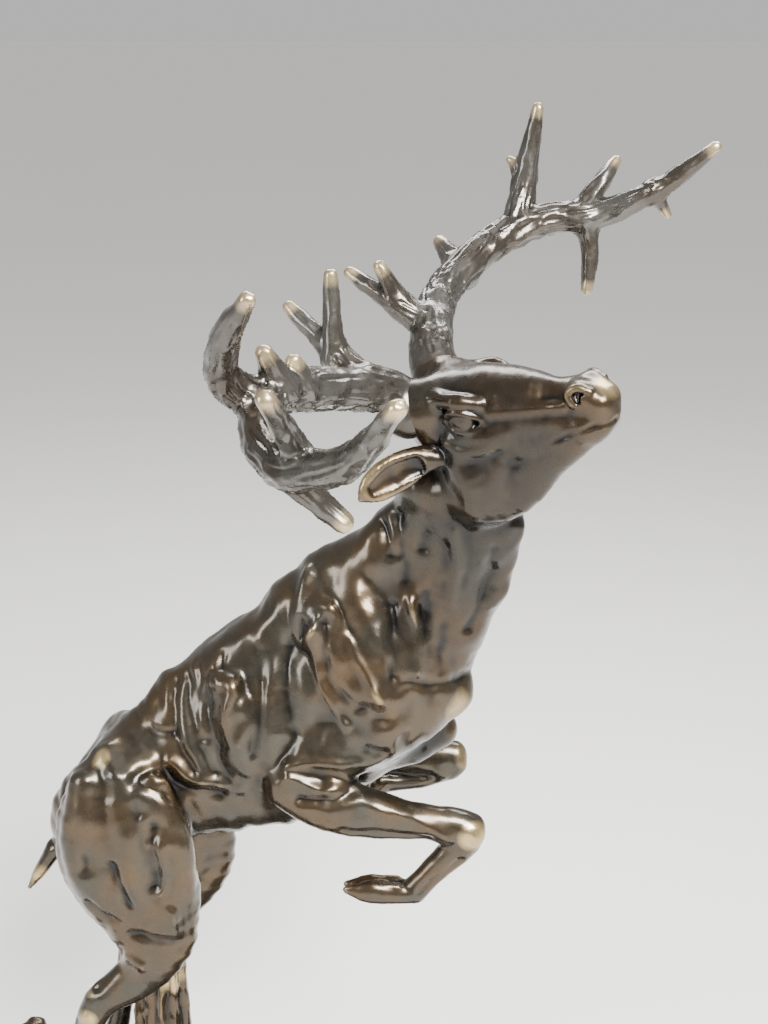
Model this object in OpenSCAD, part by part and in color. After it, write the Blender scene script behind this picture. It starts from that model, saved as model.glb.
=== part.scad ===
// A leaping stag in sectional cast bronze, on a bronze rock and a marble plinth.
// The origin is the centre of the felt face that rests on the table.
// +X is the way the stag leaps, +Y is its left side, +Z is up. Millimetres.

/* [Plinth] */
// Length of the marble plinth
plinth_l = 204; // [190:1:240]
// Width of the marble plinth
plinth_w = 104; // [94:1:140]
// Height of the marble plinth
plinth_h = 20; // [18:0.5:30]
// Height of the cove cut round the plinth's upper edge
cove_h = 5; // [3:0.5:7]
// Depth of that cove
cove_d = 4; // [2:0.5:5]
// Thickness of the felt under the plinth
felt_t = 2; // [1:0.5:3]
// How far the felt stays back from the plinth's edge
felt_margin = 3; // [1:0.5:8]

/* [Base fixings] */
// Diameter of the studs that hold the rock to the plinth
stud_d = 6; // [5:0.5:6.5]
// How far a stud is screwed into its boss in the rock
stud_in = 8; // [5:1:9]
// Clearance round a stud in the marble
stud_clear = 1; // [0.5:0.25:2]
// Diameter of the bosses inside the rock
boss_d = 13; // [11:1:15]
// Diameter of the pocket for each nut and washer
pocket_d = 18; // [17:0.5:22]
// Depth of that pocket
pocket_h = 9; // [8:0.5:12]
// Outer diameter of the washers
washer_d = 14; // [12:0.5:16]
// Thickness of the washers
washer_t = 1.5; // [1:0.25:2]
// Width of the nuts across their flats
nut_af = 10; // [9:0.5:12]
// Height of the nuts
nut_h = 5; // [4:0.5:6]

/* [Rock and stump] */
// Length of the rock
rock_l = 116; // [100:1:130]
// Width of the rock
rock_w = 78; // [70:1:90]
// Height of the rock's broad top above the plinth
rock_h = 22; // [20:0.5:26]
// Height of the crag at the back above the plinth
crag_h = 48; // [40:1:54]
// Wall of the hollow rock casting
rock_wall = 4; // [3:0.5:5]
// Height of the flat that the right hoof stands on, above the plinth
ledge_h = 14; // [13:0.5:17]
// Length of the stump's foot along X
stump_l = 30; // [24:1:34]
// Width of the stump's foot along Y
stump_w = 17; // [14:1:19]
// Number of flutes round the stump
stump_flutes = 9; // [7:1:11]

/* [Body] */
// Length of the trunk from the rump to the neck joint
trunk_len = 128; // [115:1:145]
// Angle of the trunk above level
trunk_pitch = 30; // [20:1:40]
// Depth of the chest from the back to the breastbone
chest_depth = 68; // [60:1:76]
// Width of the trunk at the ribs
chest_w = 37; // [32:1:42]
// Wall of the hollow torso casting
torso_wall = 4; // [3:0.5:5]
// Length of the neck along its middle
neck_len = 62; // [54:1:72]
// Wall of the hollow neck casting
neck_wall = 4; // [3:0.5:5]
// Length of the head from the neck joint to the nose
head_len = 50; // [44:1:58]
// Turn of the head towards the stag's right
head_yaw = -31; // [-45:1:0]
// Tip of the muzzle above level
head_pitch = 1; // [-10:1:12]
// Tilt of the head, left side up
head_roll = 12; // [0:1:20]
// Length of the tail
tail_len = 20; // [15:1:26]
// Length of the ears
ear_len = 20; // [16:1:24]

/* [Hind legs] */
// Distance between the hip joints
hip_gap = 31; // [28:1:36]
// Length of the thigh, hip joint to stifle
thigh_len = 40; // [36:1:46]
// Length of the gaskin, stifle to hock
gaskin_len = 41; // [36:1:47]
// Length of the hind cannon, hock to fetlock
hind_cannon_len = 47; // [41:1:54]
// Length of the hind pastern
hind_pastern_len = 13; // [11:1:15]
// Height of the hooves
hoof_h = 8; // [7:0.5:10]

/* [Forelegs] */
// Distance between the elbows
elbow_gap = 35; // [32:1:40]
// Length of the forearm, elbow to knee
forearm_len = 55; // [48:1:62]
// Length of the fore cannon, knee to fetlock
fore_cannon_len = 32; // [27:1:37]
// Length of the pastern and hoof
toe_len = 18; // [15:1:21]
// Angle of the right forearm below level
forearm_drop_r = 16; // [5:1:25]
// Angle of the left forearm below level
forearm_drop_l = 9; // [0:1:20]

/* [Joints] */
// Clearance between the castings where they meet
seam = 0.15; // [0.1:0.05:0.3]
// Diametral clearance of spigots and pins in their bores
fit = 0.2; // [0.1:0.05:0.4]
// Diameter of the tubular spigot on the neck
neck_spigot_d = 20; // [17:0.5:23]
// Length of that spigot
neck_spigot_len = 12; // [9:1:15]
// Diameter of the spigot between the neck and the head
head_spigot_d = 12; // [10:0.5:14]
// Length of the head's spigot
head_spigot_len = 12; // [9:1:14]
// Diameter of the spigots on the legs
leg_spigot_d = 8; // [6:0.5:10]
// How far a leg spigot reaches in past the torso's side
leg_spigot_in = 6; // [5:0.5:8]
// Diameter of the pins in the antlers
antler_pin_d = 3; // [2.5:0.25:4]
// Length of the pins in the antlers
antler_pin_len = 14; // [10:1:18]
// Diameter of the antlers' pedicles
pedicle_d = 12; // [10:0.5:13]
// Diameter of the spigots on the ears and tail
small_spigot_d = 3; // [2.5:0.25:4]
// Length of the spigots on the ears and tail
small_spigot_len = 5; // [4:0.5:7]
// Diameter of the pins in the hind hooves
hoof_pin_d = 3; // [2.5:0.25:4]
// Length of the pins in the hind hooves
hoof_pin_len = 9; // [7:0.5:11]
// Diameter of the pin between the stump and the torso
stump_pin_d = 4; // [3:0.25:5]
// Length of the pin between the stump and the torso
stump_pin_len = 22; // [16:1:28]
// Diameter of the plugs that close the core-pin holes
plug_d = 5; // [4:0.5:6]

/* [Hidden] */

// Colours of the finishes
bronze = "#6e5a41";
horn_bronze = "#8d8a82";
marble = "#23211f";
felt = "#1f3327";
steel = "#b3b5b8";

// How many sides draw a bore, a trunk or neck section, and a limb section
bore_sides = 48;
skin_sides = 24;
limb_sides = 16;
// Play left past each end of a pin
pin_play = 0.25;
// How far the stump's pin stands above the middle of the stump's seat
stump_pin_out = 3;

// Vectors
across = [0, 1, 0];
function unit(v) = v / norm(v);
// Direction in the XZ plane at an angle above +X
function heading(angle) = [cos(angle), 0, sin(angle)];
// A point moved only within the XZ plane
function shifted(p, x, z) = [p[0] + x, p[1], p[2] + z];
function lifted(p, y) = [p[0], y, p[2]];

// Levels
rock_z = felt_t + plinth_h;
pocket_z = felt_t + pocket_h;
ledge_z = rock_z + ledge_h;

// Hind leg chain, from the right hoof up to the hip
hoof_x = -51;
hoof_y = 17.5;
hind_pastern_angle = 117;
right_cannon_angle = 78;
right_gaskin_angle = 47;
right_thigh_angle = 117;
right_sole = [hoof_x, -hoof_y, ledge_z];
right_coronet = right_sole + hoof_h * heading(110);
right_fetlock = right_coronet + hind_pastern_len * heading(hind_pastern_angle);
right_hock = right_fetlock + hind_cannon_len * heading(right_cannon_angle);
right_stifle = right_hock + gaskin_len * heading(right_gaskin_angle);
right_hip = lifted(right_stifle + thigh_len * heading(right_thigh_angle), -hip_gap / 2);

// The left hind leg hangs from the same hips and finds its own ledge
left_thigh_angle = 131;
left_gaskin_angle = 50;
left_cannon_angle = 80;
left_hip = lifted(right_hip, hip_gap / 2);
left_stifle = lifted(left_hip - thigh_len * heading(left_thigh_angle), hoof_y - 2);
left_hock = left_stifle - gaskin_len * heading(left_gaskin_angle);
left_fetlock = lifted(left_hock - hind_cannon_len * heading(left_cannon_angle), hoof_y + 1);
left_coronet = left_fetlock - hind_pastern_len * heading(hind_pastern_angle);
left_sole = left_coronet - hoof_h * heading(110);

// Trunk frame: s runs along the trunk from the hips, n runs up out of the back
hips = shifted(lifted(right_hip, 0), -2, -2);
trunk_along = heading(trunk_pitch);
trunk_out = heading(trunk_pitch + 90);
trunk_s = trunk_len / 128;
trunk_n = chest_depth / 68;
trunk_y = chest_w / 37;
function trunk_point(s, n) = hips + s * trunk_s * trunk_along + n * trunk_n * trunk_out;
// Each trunk section: s and n of the back, s and n of the belly, half width
TRUNK = [
    [-22, -6, -21, -11, 3],
    [-18, 5, -16, -19, 9.5],
    [-8, 14, -8, -24, 13],
    [7, 19, 4, -26, 15],
    [22, 23, 20, -26, 15.5],
    [40, 26.5, 36, -32, 17],
    [60, 29, 54, -38, 18.5],
    [78, 30, 72, -38, 18.5],
    [92, 30.5, 92, -36, 17.5],
    [106, 32, 116, -26, 15]
];
trunk_last = len(TRUNK) - 1;
neck_low_back = trunk_point(TRUNK[trunk_last][0], TRUNK[trunk_last][1]);
neck_low_front = trunk_point(TRUNK[trunk_last][2], TRUNK[trunk_last][3]);
neck_low = (neck_low_back + neck_low_front) / 2;
// Normal of the seat between the torso and the neck
neck_out = unit(cross(neck_low_front - neck_low_back, across));

// Head frame: forward, left and up vectors, and the middle of its seat on the neck
head_f = [cos(head_yaw) * cos(head_pitch), sin(head_yaw) * cos(head_pitch), sin(head_pitch)];
head_flat = [-sin(head_yaw), cos(head_yaw), 0];
head_tall = cross(head_f, head_flat);
head_left = head_flat * cos(head_roll) + head_tall * sin(head_roll);
head_up = head_tall * cos(head_roll) - head_flat * sin(head_roll);
neck_lean = 77;
head_sway = -14;
head_seat = lifted(neck_low + neck_len * heading(neck_lean), head_sway);
head_k = head_len / 50;
function head_point(f, l, u) = head_seat + f * head_f + l * head_left + u * head_up;
function muzzle_point(f, l, u) = head_point(f * head_k, l, u);
// Edges and normal of the seat between the neck and the head
head_seat_back = head_point(-11, 0, 21);
head_seat_front = head_point(11, 0, -21);
head_out = unit(21 * head_f + 11 * head_up);
head_half_w = 13.5;

// Forelegs: the elbows, and how far the cannon and the toe fold back from the forearm
right_elbow = lifted(trunk_point(62, -20), -elbow_gap / 2);
left_elbow = lifted(trunk_point(58, -20), elbow_gap / 2);
cannon_fold = 121;
toe_fold = 168;

// Antlers as [forward, left, up] in the head frame, with a radius at each point
LEFT_BEAM = [
    [-12, 13, 23, 6.2], [-17, 24, 29, 5.6], [-20, 35, 33, 5.2], [-18.5, 47, 37, 5.2],
    [-13.5, 63, 42, 5], [-2, 75, 45, 4.6], [12, 82, 45, 4.1], [30, 88, 52, 3.1], [45, 95, 63, 1.9]
];
LEFT_TINES = [
    [[-10, 68, 43, 4.4], [-9, 76, 58, 3.6], [-5, 80, 78, 1.8]],
    [[8, 80, 44, 3.6], [10, 78, 34, 2.8], [10, 74, 23, 1.7]],
    [[6, 79, 45, 3.4], [10, 87, 52, 2.9], [13, 95, 58, 1.7]],
    [[-17, 23, 29, 4.4], [-25, 20, 35, 3.6], [-41, 20, 44.5, 1.9]],
    [[-24, 21, 34, 3.4], [-29, 18, 48, 1.9]],
    [[-19, 48, 36, 4.6], [-30, 55.5, 42.5, 2.2]],
    [[28, 87, 52, 2.6], [31, 90, 43, 1.4]],
    [[-9.5, 76, 58, 3], [-14, 76, 63, 1.4]]
];
RIGHT_BEAM = [
    [-12, 13, 23, 6.2], [-15, 26, 30, 5.8], [-18, 42, 36, 5.6], [-19, 58, 41, 5.6],
    [-12, 71, 36, 5.2], [0, 79, 34, 5], [12, 83, 37, 4.6], [27, 88, 45, 3.6], [43.5, 95, 62, 2.2]
];
RIGHT_TINES = [
    [[-19, 60, 40, 5], [-23, 68, 50, 4.2], [-15, 74, 64, 3.6], [-3, 79, 76, 2]],
    [[-2, 78, 34, 4.2], [3, 74, 24, 3.4], [9, 72, 17, 2.6]],
    [[4, 78, 37, 3.6], [10, 95, 60, 2.2]],
    [[-15, 20, 29, 4.6], [-24, 18, 36, 3.6], [-38.5, 16, 47.5, 1.9]],
    [[-24, 19, 35, 3.4], [-23, 16, 58, 1.8]],
    [[-16, 54, 42, 4.2], [-17, 58, 53, 2.3]],
    [[-16, 46, 39, 4.2], [-16, 48, 47, 2]]
];

// Fixing places in the rock, stump and torso
BOSSES = [[-73, -2], [-22, 20], [-14, -16]];
stump_x = -31;
stump_y = 1;
stump_seat = [stump_x, stump_y, rock_z + ledge_h + 2];
stump_top = lifted(trunk_point(9, -18), stump_y);
right_ledge_r = 10;
left_ledge_r = 9;
stump_ledge_r = stump_l / 2 + 2;
// Trunk sections whose middles carry a core-pin plug on each side
PLUG_SECTIONS = [5, 7];

// ---- Lofted skins ----

// An oval ring through two edge points, with a half width across
function oval(a, b, half_w, side, sides) =
    [for (k = [0 : sides - 1])
        (a + b) / 2 + (a - b) / 2 * sin(360 * k / sides) + side * half_w * cos(360 * k / sides)];

// A skin over rings that all have as many points
module skin(rings) {
    sides = len(rings[0]);
    last = len(rings) - 1;
    walls = [for (i = [0 : last - 1], k = [0 : sides - 1])
        let (j = (k + 1) % sides, low = i * sides, high = low + sides)
        each [[low + k, high + k, high + j], [low + k, high + j, low + j]]];
    ends = [[for (k = [0 : sides - 1]) k], [for (k = [0 : sides - 1]) last * sides + sides - 1 - k]];
    polyhedron(points = [for (r = rings) each r], faces = concat(walls, ends));
}

// A round, tapering branch through points that carry a radius, all in the head frame
module branch(points, mirrored, sides) {
    world = [for (p = points) head_point(p[0], p[1] * mirrored, p[2])];
    last = len(points) - 1;
    rings = [for (i = [0 : last])
        let (
            along = unit(world[min(i + 1, last)] - world[max(i - 1, 0)]),
            side = unit(cross(along, [0.31, 0.52, 0.79])),
            top = cross(along, side)
        )
        [for (k = [0 : sides - 1])
            world[i] + points[i][3] * (side * cos(360 * k / sides) + top * sin(360 * k / sides))]];
    skin(rings);
}

// A true cylinder from a point along a direction
module rod(from, along, length, diameter) {
    tilt = acos(along[2]);
    turn = atan2(along[1], along[0]);
    translate(from)
        rotate([0, tilt, turn])
            cylinder(h = length, d = diameter, $fn = bore_sides);
}

// ---- Plinth and fixings ----

module felt_sheet() {
    color(felt)
        linear_extrude(felt_t)
            square([plinth_l - 2 * felt_margin, plinth_w - 2 * felt_margin], center = true);
}

module marble_plinth() {
    color(marble)
        difference() {
            translate([-plinth_l / 2, -plinth_w / 2, felt_t])
                cube([plinth_l, plinth_w, plinth_h]);
            cove_cuts();
            for (b = BOSSES) {
                translate([b[0], b[1], felt_t - 1])
                    cylinder(h = pocket_h + 1, d = pocket_d, $fn = 64);
                translate([b[0], b[1], felt_t])
                    cylinder(h = plinth_h + 1, d = stud_d + stud_clear, $fn = bore_sides);
            }
        }
}

// The cove is a stepped bevel cut along each of the four upper edges
module cove_cuts() {
    for (side = [-1, 1]) {
        translate([0, side * plinth_w / 2, rock_z])
            cove_bar(plinth_l);
        translate([side * plinth_l / 2, 0, rock_z])
            rotate([0, 0, 90])
                cove_bar(plinth_w);
    }
}

module cove_bar(length) {
    rotate([90, 0, 90])
        translate([0, 0, -length / 2 - 1])
            linear_extrude(length + 2)
                polygon([[-cove_d, 1], [-cove_d, -cove_h / 4], [-cove_d / 2, -cove_h * 3 / 4],
                    [-cove_d / 2, -cove_h], [1, -cove_h], [cove_d, 0], [cove_d, 1]]);
}

module base_studs() {
    bottom = pocket_z - washer_t - nut_h - 1;
    color(steel)
        for (b = BOSSES)
            translate([b[0], b[1], bottom])
                cylinder(h = rock_z + stud_in - bottom, d = stud_d, $fn = bore_sides);
}

module base_washers() {
    color(steel)
        for (b = BOSSES)
            translate([b[0], b[1], pocket_z - washer_t])
                difference() {
                    cylinder(h = washer_t, d = washer_d, $fn = bore_sides);
                    translate([0, 0, -1])
                        cylinder(h = washer_t + 2, d = stud_d + fit, $fn = bore_sides);
                }
}

module base_nuts() {
    color(steel)
        for (b = BOSSES)
            translate([b[0], b[1], pocket_z - washer_t - nut_h])
                difference() {
                    cylinder(h = nut_h, d = nut_af / cos(30), $fn = 6);
                    translate([0, 0, -1])
                        cylinder(h = nut_h + 2, d = stud_d + fit, $fn = bore_sides);
                }
}

// ---- Rock and stump ----

// How rough the rock's outline is at an angle
function rough(angle, phase) =
    1 + 0.05 * sin(3 * angle + phase) + 0.04 * sin(5 * angle + 2 * phase) + 0.025 * sin(9 * angle);

// Rock levels: height share, centre x and y, length share, width share
MOUND = [
    [0, -39, 0, 1, 1], [0.45, -39, 0, 0.97, 0.96], [0.75, -40, 0, 0.86, 0.82],
    [0.93, -41, 0, 0.66, 0.6], [1, -42, 0, 0.36, 0.3]
];
CRAG = [
    [0, -73, 10, 0.42, 0.62], [0.35, -74, 11, 0.36, 0.5], [0.68, -75, 13, 0.27, 0.36],
    [0.9, -76, 15, 0.17, 0.24], [1, -77, 16, 0.07, 0.1]
];

module boulder(levels, height, phase, inset) {
    sides = 28;
    skin([for (level = levels)
        [for (k = [0 : sides - 1])
            let (
                angle = 360 * k / sides,
                r = rough(angle, phase + 50 * level[0]),
                x = max(rock_l / 2 * level[3] * r - inset, 0.8),
                y = max(rock_w / 2 * level[4] * r - inset, 0.8)
            )
            [level[1] + x * cos(angle), level[2] + y * sin(angle),
                rock_z + max(height * level[0] - inset, -1 * sign(inset))]]]);
}

// A flat seat worked into the rock's top, with the rock above it cut away
module ledge_seat(p, radius) {
    translate([p[0], p[1], rock_z])
        cylinder(h = p[2] - rock_z, r = radius, $fn = 40);
}

module ledge_cut(p, radius) {
    translate([p[0], p[1], p[2]])
        cylinder(h = 60, r = radius, $fn = 40);
}

module rock_base() {
    color(bronze)
        difference() {
            union() {
                boulder(MOUND, rock_h, 40, 0);
                boulder(CRAG, crag_h, 110, 0);
                ledge_seat(right_sole, right_ledge_r);
                ledge_seat(left_sole, left_ledge_r);
                ledge_seat(stump_seat, stump_ledge_r);
            }
            rock_hollow();
            ledge_cut(right_sole, right_ledge_r);
            ledge_cut(left_sole, left_ledge_r);
            ledge_cut(stump_seat, stump_ledge_r);
            for (b = BOSSES)
                translate([b[0], b[1], rock_z - 1])
                    cylinder(h = stud_in + 2, d = stud_d + fit, $fn = bore_sides);
            for (p = [right_sole, left_sole])
                translate([p[0], p[1], p[2] - rock_wall - 1])
                    cylinder(h = rock_wall + 2, d = hoof_pin_d + fit, $fn = bore_sides);
        }
}

// The space inside the rock, round the stud bosses and below the floors of the flats
module rock_hollow() {
    difference() {
        boulder(MOUND, rock_h, 40, rock_wall);
        for (b = BOSSES)
            translate([b[0], b[1], rock_z - 2])
                cylinder(h = rock_h, d = boss_d, $fn = bore_sides);
        ledge_floor(right_sole, right_ledge_r);
        ledge_floor(left_sole, left_ledge_r);
        ledge_floor(stump_seat, stump_ledge_r);
    }
}

module ledge_floor(p, radius) {
    translate([p[0], p[1], p[2] - rock_wall])
        cylinder(h = rock_h, r = radius + rock_wall, $fn = 40);
}

// Stump levels: share of the height, share of the foot's length and width, lean along X
STUMP = [
    [0, 1, 1, 0], [0.12, 0.86, 0.85, 0], [0.35, 0.62, 0.72, 0], [0.58, 0.5, 0.66, -0.5],
    [0.8, 0.42, 0.6, 0], [1, 0.36, 0.55, 0]
];

// A fluted ring of the stump at one level
function stump_ring(level, sides) =
    let (
        f = level[0],
        middle = stump_seat * (1 - f) + stump_top * f,
        x = middle[0] + level[3]
    )
    [for (k = [0 : sides - 1])
        let (angle = 360 * k / sides, r = 1 + 0.12 * cos(stump_flutes * angle + 70 * f))
        [x + stump_l / 2 * level[1] * r * cos(angle),
            middle[1] + stump_w / 2 * level[2] * r * sin(angle), middle[2]]];

module tree_stump() {
    color(bronze)
        difference() {
            skin([for (level = STUMP) stump_ring(level, 4 * stump_flutes)]);
            belly_cut();
            translate([stump_top[0], stump_top[1], stump_top[2] - stump_pin_len])
                cylinder(h = 2 * stump_pin_len, d = stump_pin_d + fit, $fn = bore_sides);
        }
}

// The flat seat on the stump's top, along the belly
module belly_cut() {
    translate(trunk_point(0, TRUNK[3][3]) - seam * trunk_out)
        rotate([0, -trunk_pitch, 0])
            translate([-trunk_len / 2, -plinth_w / 2, 0])
                cube([trunk_len * 2, plinth_w, trunk_len]);
}

module stump_pin() {
    color(steel)
        translate([stump_top[0], stump_top[1], stump_top[2] - stump_pin_len + stump_pin_out])
            cylinder(h = stump_pin_len, d = stump_pin_d, $fn = bore_sides);
}

// ---- Trunk ----

function trunk_ring(section, inset, shift) =
    oval(
        trunk_point(section[0], section[1]) - inset * trunk_out + shift,
        trunk_point(section[2], section[3]) + inset * trunk_out + shift,
        section[4] * trunk_y - inset, across, skin_sides
    );

module trunk_skin(inset) {
    skin([for (section = TRUNK) trunk_ring(section, inset, [0, 0, 0])]);
}

// The torso's inside, from behind the hips to the wall at the neck
module trunk_hollow() {
    skin([for (i = [2 : trunk_last])
        trunk_ring(TRUNK[i], torso_wall, i == trunk_last ? -torso_wall * neck_out : [0, 0, 0])]);
}

module torso() {
    color(bronze)
        difference() {
            trunk_skin(0);
            trunk_hollow();
            rod(neck_low - 3 * torso_wall * neck_out, neck_out, 5 * torso_wall, neck_spigot_d + fit);
            leg_bore(right_hip);
            leg_bore(left_hip);
            leg_bore(right_elbow);
            leg_bore(left_elbow);
            translate([stump_top[0], stump_top[1], stump_top[2] - stump_pin_len])
                cylinder(h = 2 * stump_pin_len, d = stump_pin_d + fit, $fn = bore_sides);
            tail_spigot(fit, 0.5);
            for (i = PLUG_SECTIONS, side = [-1, 1])
                core_plug(i, side, fit, torso_wall);
        }
}

// A lateral bore from outside a leg to past the end of its spigot
module leg_bore(joint) {
    side = sign(joint[1]);
    rod(lifted(joint, side * (abs(joint[1]) - leg_spigot_in - 1)), [0, side, 0], 20, leg_spigot_d + fit);
}

module leg_spigot(joint) {
    side = sign(joint[1]);
    rod(lifted(joint, side * (abs(joint[1]) - leg_spigot_in)), [0, side, 0], leg_spigot_in + 4, leg_spigot_d);
}

// A plug, or its bore, through the torso's wall at the middle of a section
module core_plug(i, side, clear, extra) {
    middle = (trunk_point(TRUNK[i][0], TRUNK[i][1]) + trunk_point(TRUNK[i][2], TRUNK[i][3])) / 2;
    outer = TRUNK[i][4] * trunk_y - 0.3;
    inner = outer - torso_wall + 0.6;
    rod(lifted(middle, side * (inner - extra)), [0, side, 0], outer - inner + 2 * extra, plug_d + clear);
}

module core_plugs() {
    color(bronze)
        for (i = PLUG_SECTIONS, side = [-1, 1])
            core_plug(i, side, 0, 0);
}

tail_root = trunk_point(-19.5, -3);
tail_angle = 230;
module tail_spigot(clear, extra) {
    rod(tail_root - 2 * trunk_along, trunk_along, small_spigot_len + 2 + extra, small_spigot_d + clear);
}

// Tail sections: share of its length, thickness and half width
TAIL = [[-0.12, 2, 2.2], [0.15, 2.8, 3.4], [0.45, 2.6, 3.8], [0.75, 1.8, 2.8], [1, 0.5, 0.8]];
module tail() {
    color(bronze)
        union() {
            difference() {
                skin([for (t = TAIL)
                    let (
                        p = tail_root + tail_len * t[0] * heading(tail_angle),
                        o = t[1] * heading(tail_angle + 90)
                    )
                    oval(p + o, p - o, t[2], across, 14)]);
                trunk_skin(-seam);
            }
            tail_spigot(0, 0);
        }
}

// ---- Neck and head ----

// Neck sections: back edge, front edge, half width, side vector; inset draws the inside
function neck_edges(i) = [
    [neck_low_back, neck_low_front, TRUNK[trunk_last][4] * trunk_y, across],
    [
        lifted(shifted(neck_low_back, 12, 13), -4), lifted(shifted(neck_low_front, 11.5, 32), -4),
        12.5, across
    ],
    [shifted(head_seat_back, -4.5, -27), shifted(head_seat_front, 6.5, -9), 12.5, unit(across + head_left)],
    [head_seat_back, head_seat_front, head_half_w, head_left]
][i];

function neck_ring(i, inset, shift) =
    let (e = neck_edges(i), in_plane = unit(e[1] - e[0]))
    oval(e[0] + inset * in_plane + shift, e[1] - inset * in_plane + shift, e[2] - inset, e[3], skin_sides);

neck_spigot_wall = 3;
module neck_skin(gap) {
    skin([
        neck_ring(0, -gap, seam * neck_out), neck_ring(1, -gap, [0, 0, 0]),
        neck_ring(2, -gap, [0, 0, 0]), neck_ring(3, -gap, -seam * head_out)
    ]);
}

module neck() {
    color(bronze)
        difference() {
            union() {
                neck_skin(0);
                rod(neck_low - neck_spigot_len * neck_out, neck_out, neck_spigot_len + neck_wall,
                    neck_spigot_d);
                rod(head_seat - 3 * head_out, head_out, head_spigot_len + 3, head_spigot_d);
            }
            skin([
                neck_ring(0, neck_wall, neck_wall * neck_out), neck_ring(1, neck_wall, [0, 0, 0]),
                neck_ring(2, neck_wall, [0, 0, 0])
            ]);
            rod(neck_low - (neck_spigot_len + 1) * neck_out, neck_out, neck_spigot_len + 2 * neck_wall,
                neck_spigot_d - 2 * neck_spigot_wall);
            pedicle(LEFT_BEAM, 1, seam);
            pedicle(RIGHT_BEAM, -1, seam);
            ear_spigot(1, fit);
            ear_spigot(-1, fit);
        }
}

// Head sections: forward and up of the top, of the underside, half width
HEAD = [
    [4, 24.5, 14, -20, 14], [13, 26.5, 20, -16.5, 13.2], [26, 26, 30, -3, 10],
    [37, 27, 39.5, 6.5, 7.6], [45, 29, 46, 11.5, 7], [49, 26, 49.8, 15, 4.5]
];

function pedicle_seat(beam, side) = head_point(beam[0][0], side * beam[0][1], beam[0][2]);
function pedicle_out(beam, side) =
    unit(head_point(beam[1][0], side * beam[1][1], beam[1][2]) - pedicle_seat(beam, side));

module antler_pin(beam, side, clear) {
    axis = pedicle_out(beam, side);
    half = antler_pin_len / 2 + clear;
    rod(pedicle_seat(beam, side) - half * axis, axis, 2 * half, antler_pin_d + clear);
}

pedicle_len = 11;
module pedicle(beam, side, gap) {
    axis = pedicle_out(beam, side);
    rod(pedicle_seat(beam, side) - (pedicle_len + gap) * axis, axis, pedicle_len + gap, pedicle_d + 2 * gap);
}

// Where each ear springs from the head, and the way it points
ear_in = [0, 12, 4];
ear_way = unit([-16, 18, -6.5]);
function ear_root(side) = head_point(ear_in[0], side * ear_in[1], ear_in[2]);
function ear_out(side) = ear_way[0] * head_f + side * ear_way[1] * head_left + ear_way[2] * head_up;

module ear_spigot(side, clear) {
    from = ear_root(side);
    out = ear_out(side);
    rod(from - (small_spigot_len + clear) * out, out, small_spigot_len + clear + 4, small_spigot_d + clear);
}

module head_skin(gap) {
    skin(concat(
        [neck_ring(3, -gap, [0, 0, 0])],
        [for (h = HEAD)
            oval(muzzle_point(h[0], 0, h[1] + gap), muzzle_point(h[2], 0, h[3] - gap),
                h[4] + gap, head_left, skin_sides)]
    ));
}

module head() {
    color(bronze)
        difference() {
            union() {
                head_skin(0);
                pedicle(LEFT_BEAM, 1, 0);
                pedicle(RIGHT_BEAM, -1, 0);
            }
            rod(head_seat - 5 * head_out, head_out, head_spigot_len + 5.5, head_spigot_d + fit);
            antler_pin(LEFT_BEAM, 1, fit);
            antler_pin(RIGHT_BEAM, -1, fit);
            ear_spigot(1, fit);
            ear_spigot(-1, fit);
        }
}

module antler(beam, tines, side) {
    seat_gap = seam * unit(beam_vector(beam));
    foot = [for (i = [0 : 2]) beam[0][i] + seat_gap[i], beam[0][3]];
    lifted_beam = [for (i = [0 : len(beam) - 1]) i == 0 ? foot : beam[i]];
    color(horn_bronze)
        difference() {
            union() {
                branch(lifted_beam, side, 12);
                for (t = tines)
                    branch(t, side, 10);
            }
            antler_pin(beam, side, fit);
        }
}

function beam_vector(beam) = [for (i = [0 : 2]) beam[1][i] - beam[0][i]];

module right_antler() {
    antler(RIGHT_BEAM, RIGHT_TINES, -1);
}

module left_antler() {
    antler(LEFT_BEAM, LEFT_TINES, 1);
}

module antler_pins() {
    color(steel) {
        antler_pin(LEFT_BEAM, 1, 0);
        antler_pin(RIGHT_BEAM, -1, 0);
    }
}

// Ear sections: share of its length, half height and half thickness
EAR = [[-0.05, 2.2, 2], [0.2, 4.2, 2.4], [0.5, 5, 2.2], [0.8, 3.4, 1.5], [1, 0.8, 0.6]];
module ear(side) {
    root = ear_root(side);
    out = ear_out(side);
    thick = unit(cross(out, head_up));
    tall = cross(out, thick);
    color(bronze)
        union() {
            difference() {
                skin([for (e = EAR)
                    let (p = root + ear_len * e[0] * out)
                    oval(p + e[1] * tall, p - e[1] * tall, e[2], thick, 14)]);
                head_skin(seam);
                neck_skin(seam);
            }
            ear_spigot(side, 0);
        }
}

module right_ear() {
    ear(-1);
}

module left_ear() {
    ear(1);
}

// ---- Legs ----

// Foreleg sections: distance along the bone, edge before, edge behind, half width
FOREARM = [
    [-9, 6, -7, 5], [-3, 11, -10, 8], [7, 6, -12, 8], [18, 5, -10, 7], [30, 4.5, -8.5, 5.8],
    [42, 5, -7, 5], [50, 6, -6.5, 5.2], [56, 4.5, -5, 4.6], [59, 2, -2.5, 2.5]
];
FORE_CANNON = [
    [-2, 3.5, -4, 3.5], [5, 4.4, -4.4, 4.2], [16, 3.5, -3.5, 3.5], [27, 3.8, -3.8, 3.7], [33, 4, -4, 4]
];
TOE = [
    [-3, 3, -3, 3], [1, 4.2, -4.2, 4], [4.5, 3, -3.2, 3.4], [8, 4.6, -4.2, 4.6],
    [13, 3.2, -4.2, 4.4], [18, 0.6, -2.4, 2.4]
];

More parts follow.
